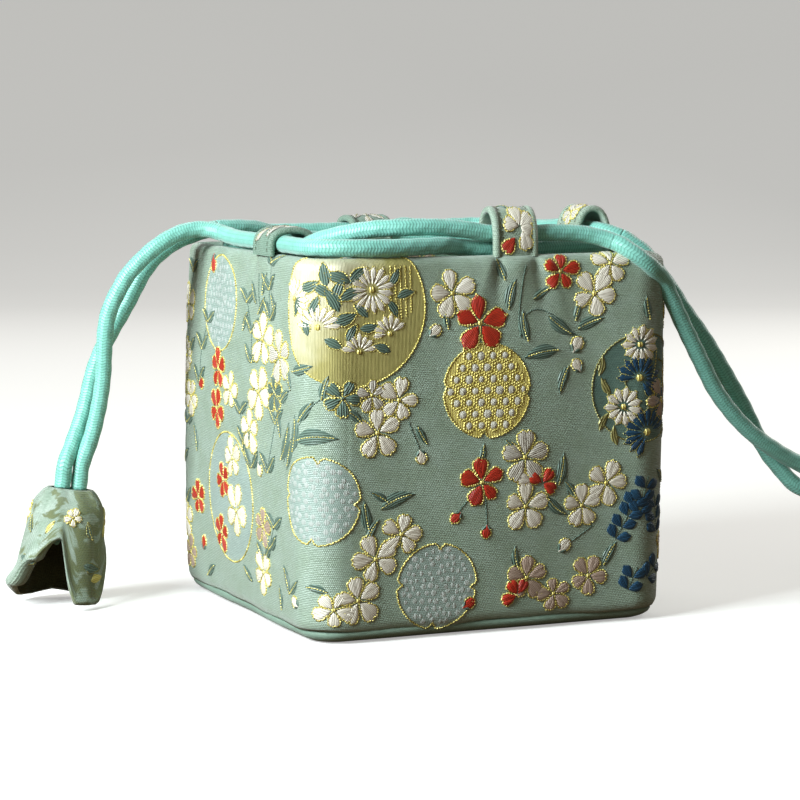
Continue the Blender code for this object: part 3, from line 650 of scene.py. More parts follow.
    def buds(self, *rows):
        """Buds: kind, x, y, turn, size."""
        for kind, x, y, turn, size in rows:
            centre, angle, size = self.spot(x, y), rad(turn), size * MM
            self.line("gold_line", self.petal(kind, centre, angle, size, size * 0.72, tip=0.12, start=0.0,
                                              widest=0.55, blunt=0.35, steps=(9, 7)))
            for side in (-0.7, 0.7):
                self.petal("leaf", centre, angle + side, size * 0.5, size * 0.26, steps=(5, 5))

    def edged_petals(self, kind, x, y, length, width, *turns, pad=0.42, blunt=0.5):
        """Notched petals of one blossom, edged in gold."""
        for turn in turns:
            self.line("gold_line", self.petal(kind, self.spot(x, y), rad(turn), length * MM, width * MM,
                                              tip=0.2, blunt=blunt, pad=pad * MM))

    def dots(self, kind, x, y, radius, pitch, size, high, ring=None, slip=0.0):
        """Rows of small dots that fill a round, each in a ring where one is named."""
        centre = self.spot(x, y)
        radius, pitch, size, slip = radius * MM, pitch * MM, size * MM, slip * MM
        count = int(radius / pitch) + 1
        for row in range(-count, count + 1):
            for column in range(-count, count + 1):
                x = (column + 0.5 * (row % 2)) * pitch
                y = row * pitch * 0.87
                if math.hypot(x, y) < radius:
                    spot = (centre[0] + x + chance.normal(0, slip), centre[1] + y + chance.normal(0, slip))
                    own_size = size * chance.uniform(0.8, 1.15)
                    self.dot(kind, spot, own_size, high * MM, 6, chance.uniform(0.8, 1.1))
                    if ring:
                        turn = (np.linspace(0, FULL_TURN, 7)[:-1] + math.pi / 6)[[0, 1, 2, 3, 4, 5, 0]]
                        hexagon = np.stack([np.cos(turn), np.sin(turn)], axis=1)
                        self.line(ring, spot + pitch * 0.47 * hexagon, 0.7 * MM, 0.42 * MM)

    def build(self, body="bag"):
        for kind, (points, quads, thread, _) in self.sheets.items():
            arrays = (np.vstack(part) for part in (points, quads, thread))
            place_piece(make_mesh(f"{self.name}_{kind}", *arrays, kind), body, "brocade")


def draw_repeat(cloth):
    """One repeat of the pattern, half the bag's girth wide: a front wall and the wall to its left."""
    # Olive gold round with chrysanthemums, cut by the rim.
    cloth.discs("olive", (-43.0, 92.8, 21.6))
    for number in range(5):
        upright = [cloth.spot(-31.5 + 1.5 * number, 87 + number), cloth.spot(-31.7 + 1.5 * number, 104)]
        cloth.line("gold_line", upright, 0.7 * MM, 0.3 * MM)
    cloth.leaves(*[(x, y, turn, size * 1.15) for x, y, turn, size in (
        (-47, 101, 160, 6.5), (-43.5, 96, 200, 6.5), (-48.5, 95, 120, 6.5), (-53.5, 93.5, 60, 5.5),
        (-45, 90, 20, 6.5), (-59, 93, 250, 5.5), (-31, 92, 300, 5), (-30.5, 101, 60, 5),
        (-27, 96, 15, 5), (-48, 83, 330, 5), (-41, 101.5, 40, 6), (-50.5, 102, 100, 6),
        (-55, 99, 20, 6), (-46.5, 98, 70, 5.5), (-40.5, 92, 140, 5), (-51.5, 97.5, 150, 5.5),
        (-43, 86, 60, 5), (-55.5, 88, 100, 5), (-38, 87.5, 10, 5), (-34.5, 81.5, 160, 5))],
        broad=0.56 / 1.15, vein=None, outline="gold_line")
    cloth.daisies("white", (-37.2, 97.6, 7.0, 15), (-52.2, 87.6, 6.6, 9, -5, 185),
                  (-41.0, 80.8, 5.4, 7, 0, 180), (-32.0, 85.5, 5.6, 7, 20, 200),
                  (-60.5, 95.0, 6.0, 9, -60, 150))
    # White and red blossoms, upper right.
    cloth.flowers(("white", -13, 96, 6.9, 100))
    cloth.flowers(("red", -5, 87.6, 8.4, 90), tip=0.0, fat=1.02, blunt=0.12)
    cloth.buds(("white", -20.2, 84.4, 40, 4.6))
    cloth.leaves((-15, 88.8, 100, 5.5))
    cloth.flowers(("red", 20.2, 101.2, 6.0, 80), ("white", 30.6, 94.8, 7.4, 60),
                  ("white", 35.4, 103.2, 6.0, 20))
    cloth.stems([(7.4, 83.2), (8.2, 88.4), (12.2, 90.8), (17.4, 89.2), (23.4, 84.4), (28.2, 81.2)],
                [(7.4, 83.2), (7, 89.2), (8.2, 98.4), (9.4, 103.2)])
    cloth.leaves((5, 95.2, 75, 9), (9, 86.4, 100, 9), (20.2, 86, -35, 10), (29.4, 86.4, 20, 9),
                 (13.8, 78.4, 190, 11), (21, 70.8, 250, 8.5), (1.8, 102.4, 110, 7), (14.2, 95.2, 30, 6.5),
                 (25.8, 90, 70, 6))
    cloth.buds(("white", 23.8, 78.4, 60, 5.4), ("white", 26.2, 72.8, 120, 4.6))
    # Gold basket round.
    cloth.discs("gold_cloth", (-3, 68.8, 13.2), lift=0.12, notches=4)
    cloth.dots("dim_silver", -3, 68.8, 11.3, 3.7, 1.3, 0.36, ring="gold_line")
    # Corner round with chrysanthemums, its bluish round darkened as painted shade.
    cloth.discs("deep_round", (45.4, 67.6, 15.5), lift=0.06, outline="dim_gold")
    for turn, reach in ((0.4, 11.5), (1.7, 9.5), (2.9, 12.0), (4.2, 9.0), (5.3, 12.5)):
        curl = [cloth.spot(45.4 + (reach - 1.1 * t) * math.cos(turn + 0.32 * t),
                       67.6 + (reach - 1.1 * t) * math.sin(turn + 0.32 * t)) for t in range(5)]
        cloth.line("dim_gold", curl, 0.55 * MM)
    cloth.daisies("white", (44.6, 80, 5.6, 11), (39.8, 62.4, 6.0, 11), (59.4, 72, 6.0, 11))
    cloth.daisies("blue", (44.5, 70.5, 7.4, 11, -70, 190), (47.0, 54.8, 7.6, 11, 10, 260),
                  (53.0, 63.0, 5.0, 9), outline="dim_gold")
    cloth.leaves((32.6, 74.4, 80, 6), (34.2, 68.4, 120, 6), (33.8, 58.4, 60, 6), (37.4, 54.4, 100, 6),
                 kind="dim_gold", vein=None)
    # Blossoms of the middle.
    cloth.flowers(("white", -29.4, 67.2, 6.4, 75), ("white", -35.8, 58.4, 7.0, 95),
                  ("hatched", -37.4, 68.8, 4.8, 20))
    cloth.flowers(("leaf", -45.8, 68.4, 5.4, 60), heart="leaf")
    cloth.leaves((-42.6, 62.8, -40, 7))
    cloth.stems([(-26.6, 61.2), (-25, 57.2), (-23.4, 53.6)])
    cloth.leaves((-22.6, 57.2, -60, 6.5))
    cloth.buds(("white", -23.4, 53.2, -75, 4.4))
    cloth.leaves((-50.2, 71.2, 75, 7), (-57.4, 76, 15, 8.5), (-64.2, 73.2, 115, 8), (-53, 56.8, 5, 12.5),
                 (-67, 55.2, 60, 13), (-71, 60.2, 100, 9), (-55.8, 64.4, 50, 8), (-60.5, 58, 84, 10.5),
                 (-63.5, 52, 245, 10))
    cloth.stems([(-47.4, 70.4), (-53.4, 66.4), (-59.8, 58.4), (-68.2, 49.2)])
    # Silver rounds.
    for x, y, radius in ((-53, 40, 12.2), (-17.8, 14.8, 12.0)):
        cloth.discs("jade_round", (x, y, radius), notches=4)
        cloth.dots("silver", x, y, radius - 1.2, 2.25, 1.0, 0.12, slip=0.28)
    cloth.leaves((-39, 35.6, 100, 9), (-35.4, 40.8, 150, 6), (-29.8, 39.2, 20, 11), (-37, 31.6, 60, 7))
    cloth.flowers(("white", -28.6, 30, 6.6, 80), ("white", -36.2, 23.6, 7.2, 110))
    # Red and white spray, lower right.
    cloth.flowers(("red", -4.6, 43.2, 6.8, 95), tip=0.08, blunt=0.3)
    cloth.stems([(-7.4, 40), (-11.4, 35.6)], [(-3.4, 39.2), (-3, 31.2)])
    cloth.buds(("red", -11, 35.2, 225, 4.2), ("red", -3, 31.2, 265, 4.2))
    cloth.leaves((-4.6, 51.6, 80, 5.5))
    cloth.flowers(("hatched", 8.6, 49.6, 7.6, 90), ("white", 9, 35.6, 7.0, 85))
    cloth.edged_petals("red", 14.2, 42, 5.2, 3.8, 150, 50, -30, pad=0.6)
    cloth.edged_petals("white", 11, 42.4, 5.4, 4.0, 160)
    cloth.leaves((20.2, 45.6, 80, 9.5), (19, 35.2, -40, 8.5), (23, 40, 130, 6), (3.8, 53.2, 130, 5))
    cloth.stems([(21.4, 48.4), (22.6, 38), (25.8, 32)])
    cloth.flowers(("white", 34.6, 40.8, 6.8, 70), ("white", 27, 34.8, 6.2, 20))
    # Blue fronds: pairs of petals up a stem that starts at x, y and leans this way.
    for x, y, way, count in ((37.8, 24.5, 60, 4), (45.0, 31.5, 75, 3), (51.5, 25.5, 95, 3),
                             (42.0, 9.5, 66, 2), (48.0, 12.5, 40, 2)):
        pairs = [(x + 3.6 * number * math.cos(rad(way)), y + 3.6 * number * math.sin(rad(way)))
                 for number in range(count + 1)]
        cloth.stems([pairs[0], pairs[-1]])
        for number, foot in enumerate(pairs[:-1]):
            for side in (-52, 52):
                angle = rad(way + side + 9 * (number % 2))
                cloth.petal("blue", cloth.spot(*foot), angle, 4.9 * MM, 3.1 * MM, blunt=0.3)
    cloth.buds(("white", 19.8, 22, 45, 5.0))
    cloth.stems([(20.6, 22.8), (26.6, 26.4), (30.6, 28.8)])
    # Along the foot.
    cloth.flowers(("beige", 9.8, 15.2, 6.6, 90), ("beige", 29.4, 14.4, 6.2, 60),
                  ("beige", 18.6, 10, 5.4, 30), ("beige", 62.2, 12, 5.6, 10))
    cloth.edged_petals("red", 7, 10.4, 5.4, 3.8, 200, 120, 60, pad=0.7)
    cloth.buds(("red", -9.8, 8, 30, 4.6))
    cloth.leaves((6.6, 21.2, 100, 7), (36.2, 20.4, 60, 8))
    cloth.flowers(("white", -41.4, 12.4, 7.0, 100), ("white", -48.2, 10, 5.6, 60))
    cloth.buds(("white", -59, 10, 150, 4.4))
    cloth.leaves((-67, 16.4, 120, 9), (-61.8, 15.2, 40, 7), (-53, 15.6, 170, 6.5), (-72.6, 10.4, 100, 7))
    # The wall to the left: twigs with pairs of leaves, then blossoms and rounds.
    for twig in ([(-79, 104), (-80.5, 97), (-79, 89)], [(-70, 66), (-74, 60), (-80, 46)],
                 [(-97, 92), (-93, 84), (-92, 76)], [(-100, 60), (-97, 52), (-92, 46)],
                 [(-76, 30), (-80, 24), (-84, 20)], [(-130, 84), (-136, 76), (-138, 66)],
                 [(-146, 98), (-150, 86), (-148, 74)], [(-150, 52), (-154, 40), (-152, 28)]):
        cloth.stems(twig)
        for number, (x, y) in enumerate(twig):
            for side in (-1, 1):
                lean = rad(90 - side * (58 - 8 * number))
                cloth.leaf(cloth.spot(x + side * 2.8, y + 1.5), lean, 7.4 * MM, 3.4 * MM)
    for kind, x, y, size in (("white", -150, 88, 6.4), ("beige", -158, 64, 6.4), ("white", -146, 60, 6.0),
                             ("white", -152, 22, 6.6), ("red", -140, 30, 5.6)):
        cloth.flowers((kind, x, y, size, 7 * x))
    cloth.flowers(("white", -84, 82.0, 8.6, 80), ("hatched", -71, 78.4, 8.4, 100),
                  ("white", -86.4, 67, 8.2, 60))
    cloth.flowers(("leaf", -74.6, 68, 6.0, 20), heart="leaf")
    cloth.flowers(("white", -92.6, 55.6, 7.0, 20))
    cloth.buds(("white", -86.2, 47.4, -70, 4.8))
    cloth.stems([(-88.2, 100.4), (-87.4, 93.2), (-84.6, 88.4)])
    cloth.leaves((-91.8, 94.8, 130, 8), (-85.4, 91.6, 50, 7), (-83.8, 97.6, 70, 7), (-76.6, 92.4, 120, 7),
                 (-97.4, 86.4, 60, 7))
    cloth.discs("jade_round", (-119.4, 90, 14.0))
    cloth.dots("silver", -119.4, 90, 12.6, 2.4, 1.05, 0.12, slip=0.28)
    cloth.flowers(("red", -119.4, 70.8, 6.6, 90), ("red", -120.6, 58.8, 6.6, 60),
                  ("white", -108.6, 65.6, 6.0, 80))
    cloth.buds(("red", -138.2, 64, 20, 5.0), ("red", -127.4, 104, -80, 6.0))
    cloth.discs("jade_round", (-110.2, 34, 19.0))
    cloth.flowers(("red", -115.8, 38.4, 5.6, 40), ("white", -106.6, 45.8, 7.0, 100),
                  ("white", -104.6, 30.6, 8.4, 60), ("red", -118.6, 22.4, 6.0, 80),
                  ("white", -85, 15.6, 6.6, 50), ("beige", -84.2, 28.8, 6.2, 80))
    cloth.buds(("red", -136.2, 14.4, 80, 5.0))
    cloth.leaves((-161.8, 74.4, 80, 9), (-142.2, 48, 110, 9), (-130.2, 9.2, 30, 8), (-97.4, 13.6, 150, 8),
                 (-163.8, 90.4, 100, 7), (-97, 52, 70, 7))


# Walls, facing, lining and base

def round_band(name, surface, levels, columns, material, node):
    """A band of brocade all round the bag, its weave unbroken where the band closes."""
    across, rise = np.meshgrid(ring_of(columns), levels)
    quads = grid_faces(len(levels), columns, wrap=True)
    corners = across.ravel()[quads].copy()
    corners[:, 1:3][corners[:, 1:3] < 1e-9] = GIRTH
    thread = np.stack([corners / MM, rise.ravel()[quads] / MM, 0 * corners], axis=-1)
    piece = make_mesh(name, surface(across, rise), quads, thread, material)
    place_piece(thicken(piece, 0.9 * MM), "bag", "brocade", node)


def make_brocade():
    """The cloth of the four walls and over the rim to its seam, and the strip inside the mouth."""
    over_rim = np.linspace(SHOULDER, SEAM_TOP + 0.35 * MM, 10)
    levels = np.concatenate([np.arange(FOOT, SHOULDER, 0.75 * MM), over_rim])
    round_band("wall_brocade", on_wall, levels, 760, "jade", "outer_wrap")
    deep = WALL - MOUTH_ROUND - RIM + MOUTH_ROUND * math.pi / 2 + FACING_DEPTH - MOUTH_ROUND
    # The strip inside the mouth takes the darker jade of painted shade.
    round_band("mouth_facing", on_facing, np.linspace(0.15 * MM, deep, 34), 380, "jade_painted_shade", "rim_facing")
    figures = Figures("facing_figures", on_facing, 1.0)
    for number, (x, y, kind) in enumerate((
            (-52, 11, "white"), (-30, 16, "red"), (-8, 12, "white"), (18, 13, "beige"), (46, 15, "white"),
            (63, 12, "red"), (84, 9, "red"), (96, 16, "white"), (118, 14, "white"), (140, 12, "red"),
            (163, 16, "white"), (188, 13, "beige"), (210, 12, "white"), (232, 14, "red"), (255, 13, "white"),
            (275, 12, "white"), (300, 14, "red"))):
        figures.flowers((kind, x, y, 6.2, 40 * number))
        figures.leaves((x + 10, y + 1, 70 * number, 8))
    figures.build()


def make_lining():
    """The plain lining of the walls, and of the floor."""
    columns = 240
    floor, top = 9.0 * MM, HEIGHT - FACING_DEPTH + 0.6 * MM
    levels = np.linspace(floor, top, 28)
    across, rise = np.meshgrid(ring_of(columns), levels)
    soft = 0.35 * MM * np.sin(17 * FULL_TURN * across / GIRTH + 60 * rise)
    inset = WALL + 0.2 * MM + soft * np.sin(math.pi * (rise - floor) / (top - floor))
    thread = np.stack([across, rise, 0 * rise], axis=-1) / MM
    quads = grid_faces(len(levels), columns, wrap=True, flip=True)
    walls = make_mesh("lining_cloth", inward(across, inset, rise), quads, thread, "lining")
    place_piece(thicken(walls, 0.7 * MM, 1.0), "bag", "lining", "lining_walls")
    level, edge_rise = 8.9 * MM, 0.5 * MM
    rings = np.linspace(0, 1, 24)[:, None]
    edge = inward(np.linspace(0, GIRTH, 161)[None, :-1], WALL + 0.1 * MM, 0.0)
    points = np.stack(np.broadcast_arrays(edge[..., 0] * rings, edge[..., 1] * rings,
                                          level + edge_rise * rings**8), axis=-1)
    floor_piece = make_mesh("lining_floor", points, grid_faces(24, 160, wrap=True), points / MM, "lining")
    place_piece(thicken(floor_piece, 0.7 * MM), "bag", "lining", "lining_base")


def closed_outline(profile, columns):
    """Rows round the bag from (inset, height) pairs; a deep inset shrinks the outline to the middle."""
    rows = []
    for inset, height in profile:
        near = min(inset, CORNER - 1 * MM)
        share = 1 - (inset - near) / (SIDE / 2 - near)
        rows.append(inward(ring_of(columns), near, height) * (share, share, 1))
    return np.array(rows)


def make_base():
    """The soft bottom panel of plain cloth, its pad and the board."""
    columns = 240
    # Inset and height in millimetres, and how much of the edge's unevenness shows there.
    edge_profile = np.array((
        (16, 0, 0), (9, 0, 0), (6.2, 0.05, 0), (4.4, 0.3, 0.2), (2.9, 0.9, 0.6), (1.9, 1.7, 1),
        (1.35, 2.5, 1), (1.3, 3.2, 0.9), (1.7, 3.9, 0.5), (2.6, 4.4, 0.2)))
    rows = closed_outline(edge_profile[:, :2] * MM, columns)
    around = ring_of(columns)
    _, _, nx, ny, _ = plan(around)
    uneven = (0.35 * MM * np.sin(9 * FULL_TURN * around / GIRTH) + 0.5 * MM) * edge_profile[:, 2:]
    rows[..., 0] += nx * uneven
    rows[..., 1] += ny * uneven
    up = np.arange(len(rows))[:, None] * 1.6
    thread = np.stack(np.broadcast_arrays(around / MM, up, 0.0), axis=-1)
    edge = make_mesh("bottom_panel_edge", rows, grid_faces(len(rows), columns, wrap=True), thread, "plain")
    place_piece(thicken(edge, 0.8 * MM), "bag", "plain_cloth")
    sole_profile = [(SIDE / 2 * (1 - share) + 15.5 * MM * share, 0.02 * MM)
                    for share in np.linspace(0.01, 1, 16)]
    rows = closed_outline(sole_profile, columns)
    sole = make_mesh("bottom_panel", rows, grid_faces(16, columns, wrap=True), rows / MM, "plain")
    place_piece(thicken(sole, 0.6 * MM), "bag", "plain_cloth", "outer_base")
    pad_profile = np.array(((30, 1.7), (5, 1.75), (2.8, 3.2), (2.6, 4.5), (4, 5.1), (30, 5.2))) * MM
    rows = closed_outline(pad_profile, 120)
    pad = make_mesh("bottom_pad", rows, grid_faces(len(rows), 120, wrap=True), rows / MM, "wadding")
    place_piece(pad, "bag", "wadding", "base_wadding")
    board = frame["nodes"]["base_board"]
    board.data.materials.clear()
    board.data.materials.append(MATERIALS["board"])


def make_wall_pads():
    """The wadding of each wall, between its cloth and its lining."""
    rows, columns = 24, 33
    end = STRAIGHT + CORNER * math.pi / 4 - 0.4 * MM
    low, high = 6.3 * MM, HEIGHT - 3.6 * MM
    outside, inside = 1.5 * MM, 6.4 * MM
    for number, wall in enumerate(("front", "right", "back", "left")):
        around = np.linspace(-end, end, columns) + number * QUARTER
        across, rise = np.meshgrid(around, np.linspace(low, high, rows))
        foot = np.clip((rise - 6.0 * MM) / (2.5 * MM), 0, 1) ** 0.5
        thinned = 1 - foot * np.clip((HEIGHT - 1.8 * MM - rise) / (3 * MM), 0, 1) ** 0.5
        front = inward(across, outside - swell(across, rise) + thinned * 2 * MM, rise)
        back = inward(across, inside - thinned * 1.2 * MM, rise)
        points = np.concatenate([front, back[:, ::-1]], axis=1)
        count = 2 * columns
        quads = [grid_faces(rows, count, wrap=True)]
        for row, order in ((0, -1), (rows - 1, 1)):
            near = row * count + np.arange(columns - 1)
            far = row * count + count - 1 - np.arange(columns - 1)
            quads.append(np.stack([near, near + 1, far - 1, far], axis=1)[:, ::order])
        pad = make_mesh(f"{wall}_pad", points, np.vstack(quads), points / MM, "wadding")
        place_piece(pad, "bag", "wadding", f"{wall}_wadding")


# Loops

def loop_line(foot, reach, rise, power):
    """The loop's middle line as (inset, height), from its seam, over the cords and down inside."""
    base = HEIGHT + 0.3 * MM
    line = [(foot, base - 0.8 * MM)]
    for turn in math.pi * np.arange(29) / 28:
        high = (rise - LOOP_CLOTH / 2) * max(math.sin(turn), 0.0) ** power
        line.append((foot + reach / 2 * (1 - math.cos(turn)), base + high))
    lap = WALL + 0.3 * MM + LOOP_CLOTH / 2
    lap_top = HEIGHT - MOUTH_ROUND
    line.append((lap + (foot + reach - lap) * 0.65, base + (lap_top - base) * 0.8))
    return np.array(line + [(lap, lap_top - MOUTH_ROUND / 2), (lap, HEIGHT - 11 * MM)])


class LoopCloth:
    """A loop's strip as a surface: across its width, and along it from the outer seam."""

    def __init__(self, wall, place, line):
        self.wall, self.place = wall, place
        fine, self.at = spaced(line, 0.5 * MM)
        line = softened(fine, 6)
        way = np.gradient(line, axis=0)
        way /= np.linalg.norm(way, axis=1, keepdims=True)
        self.table = np.stack([line[:, 0], line[:, 1], -way[:, 1], way[:, 0]], axis=1)
        self.length = self.at[-1]

    def __call__(self, across, along, lift=0.0):
        across, along = np.broadcast_arrays(np.asarray(across, float), np.asarray(along, float))
        inset, height, out_inset, out_height = (np.interp(along, self.at, row) for row in self.table.T)
        share = np.clip(across / (LOOP_WIDTH / 2), -1.2, 1.2)
        bulge = 0.25 * MM * (1 - share**2) + lift
        x, y = self.place + across, -(SIDE / 2 - (inset + out_inset * bulge))
        cos, sin = math.cos(self.wall * math.pi / 2), math.sin(self.wall * math.pi / 2)
        return np.stack([x * cos - y * sin, x * sin + y * cos, height + out_height * bulge], axis=-1)


def make_loop(name, draw, cloth="jade", **shape):
    """One cloth loop: folded edges, a sewn line by each edge, and its part of the pattern."""
    wall, place, _ = LOOPS[name]
    surface = LoopCloth(wall, place, loop_line(**shape))
    half = LOOP_WIDTH / 2
    # The strip's section from its left edge over the top: share of its half width, share of its cloth.
    top = [(-1.0, 0.1), (-1.03, 0.5), (-0.98, 0.95), (-0.88, 1.12), (-0.76, 1.05), (-0.7, 0.72),
           (-0.62, 0.78), (-0.3, 0.85), (0, 0.88)]
    below = [(0.9, -0.1), (0.5, -0.12), (0, -0.12), (-0.5, -0.12), (-0.9, -0.1)]
    section = np.array(top + [(-x, z) for x, z in top[-2::-1]] + below)
    along = np.linspace(0, surface.length, int(surface.length / (0.6 * MM)))[:, None]
    across, rows = np.broadcast_arrays(section[None, :, 0] * half, along)
    lift = (section[None, :, 1] - 0.5) * LOOP_CLOTH
    quads = grid_faces(len(along), len(section), wrap=True)
    thread = np.stack([across / MM, rows / MM + 7, 0 * across], axis=-1)
    strip = make_mesh(f"{name}_loop_cloth", surface(across, rows, lift), quads, thread, cloth)
    place_piece(strip, "bag", "brocade", f"{name}_loop")

    def upper_side(across, along, lift=0.0):
        return surface(np.clip(across, -0.84 * half, 0.84 * half), along, lift + 0.38 * LOOP_CLOTH)

    marks = Figures(f"{name}_loop_figures", upper_side, 1.0)
    draw(marks)
    # The sewn lines lie in the groove by each folded edge; their dark thread is partly painted shade of that
    # groove.
    for side in (-0.66 * half, 0.66 * half):
        at = 1.2 * MM
        while at < surface.length - 13 * MM:
            marks.line("stitch", [(side, at), (side, at + 1.0 * MM)], 0.32 * MM, 0.2 * MM)
            at += 1.7 * MM
    marks.build()


def draw_front_loop(cloth):
    """White petals over a red one."""
    for turn, reach in ((100, 6.4), (40, 5.6), (165, 5.2), (-20, 4.6)):
        cloth.edged_petals("white", 1.0, 8.2, reach, 4.2, turn, blunt=0.55)
    cloth.edged_petals("white", 1.6, 7.4, 6.4, 4.4, -70, blunt=0.55)
    cloth.edged_petals("red", -0.4, 5.6, 6.0, 4.2, -128, blunt=0.55)
    cloth.leaves((-2.2, 15.5, 120, 5.0))
    cloth.flowers(("white", 1.0, 22.0, 5.2, 40))


def draw_right_loop(cloth):
    cloth.leaves((-1.5, 6, 70, 6), (2.0, 11, 120, 5))
    cloth.flowers(("hatched", 0.0, 18, 4.6, 20))


def draw_low_loop(cloth):
    cloth.leaves((-3, 6, 60, 5.2), (2, 7.5, 110, 5.2), (-0.5, 11, 80, 5.2), (3.2, 13, 60, 5.2),
                 (-3.4, 14, 120, 5.2), (0.5, 17, 90, 5.2), broad=0.5, kind="hatched", vein="dim_gold")


# Cords and bellflowers

# Each cord's whole route in metres, the same as in the part's source, and the numbers of the two
# points where it leaves the rim.
LEFT_CORD_ROUTE = [
    (-0.0899, 0.0355, 0.0472), (-0.0888, 0.0348, 0.0510), (-0.0877, 0.0345, 0.0555),
    (-0.0867, 0.0339, 0.0608), (-0.0859, 0.0331, 0.0679), (-0.0858, 0.0323, 0.0743),
    (-0.0857, 0.0317, 0.0793), (-0.0851, 0.0311, 0.0850), (-0.0837, 0.0306, 0.0894),
    (-0.0818, 0.0301, 0.0933), (-0.0793, 0.0296, 0.0976), (-0.0765, 0.0290, 0.1008),
    (-0.0735, 0.0284, 0.1038), (-0.0697, 0.0278, 0.1068), (-0.0652, 0.0277, 0.1093),
    (-0.0611, 0.0277, 0.1106), (-0.0575, 0.0272, 0.1110), (-0.0548, 0.0257, 0.1108),
    (-0.0519, 0.0220, 0.1099), (-0.0511, 0.0160, 0.1091), (-0.0508, 0.0090, 0.1088),
    (-0.0508, 0.0010, 0.1088), (-0.0508, -0.0070, 0.1088), (-0.0508, -0.0130, 0.1088),
    (-0.0508, -0.0185, 0.1088), (-0.0508, -0.0240, 0.1088), (-0.0510, -0.0310, 0.1088),
    (-0.0512, -0.0375, 0.1088), (-0.0502, -0.0440, 0.1088), (-0.0462, -0.0495, 0.1088),
    (-0.0400, -0.0522, 0.1088), (-0.0335, -0.0531, 0.1087), (-0.0270, -0.0528, 0.1087),
    (-0.0200, -0.0517, 0.1088), (-0.0135, -0.0500, 0.1088), (-0.0070, -0.0470, 0.1081),
    (0.0000, -0.0462, 0.1074), (0.0075, -0.0461, 0.1072), (0.0150, -0.0460, 0.1073),
    (0.0225, -0.0453, 0.1076), (0.0300, -0.0441, 0.1078), (0.0375, -0.0415, 0.1077),
    (0.0432, -0.0368, 0.1075), (0.0457, -0.0300, 0.1073), (0.0461, -0.0225, 0.1072),
    (0.0461, -0.0160, 0.1072), (0.0461, -0.0095, 0.1072), (0.0460, -0.0020, 0.1070),
    (0.0457, 0.0090, 0.1067), (0.0455, 0.0200, 0.1066), (0.0450, 0.0310, 0.1066),
    (0.0420, 0.0392, 0.1068), (0.0350, 0.0437, 0.1067), (0.0250, 0.0451, 0.1064),
    (0.0150, 0.0455, 0.1062), (0.0060, 0.0455, 0.1062), (-0.0030, 0.0454, 0.1062),
    (-0.0110, 0.0448, 0.1064), (-0.0190, 0.0432, 0.1069), (-0.0260, 0.0410, 0.1076),
    (-0.0304, 0.0398, 0.1089), (-0.0340, 0.0388, 0.1101), (-0.0377, 0.0378, 0.1106),
    (-0.0429, 0.0366, 0.1109), (-0.0493, 0.0358, 0.1108), (-0.0546, 0.0354, 0.1097),
    (-0.0591, 0.0351, 0.1083), (-0.0625, 0.0349, 0.1070), (-0.0658, 0.0349, 0.1049),
    (-0.0691, 0.0352, 0.1021), (-0.0724, 0.0360, 0.0976), (-0.0752, 0.0371, 0.0919),
    (-0.0781, 0.0378, 0.0865), (-0.0810, 0.0384, 0.0816), (-0.0835, 0.0389, 0.0769),
    (-0.0856, 0.0394, 0.0722), (-0.0873, 0.0396, 0.0672), (-0.0890, 0.0398, 0.0603),
    (-0.0909, 0.0396, 0.0544), (-0.0929, 0.0388, 0.0500), (-0.0946, 0.0377, 0.0465),
]
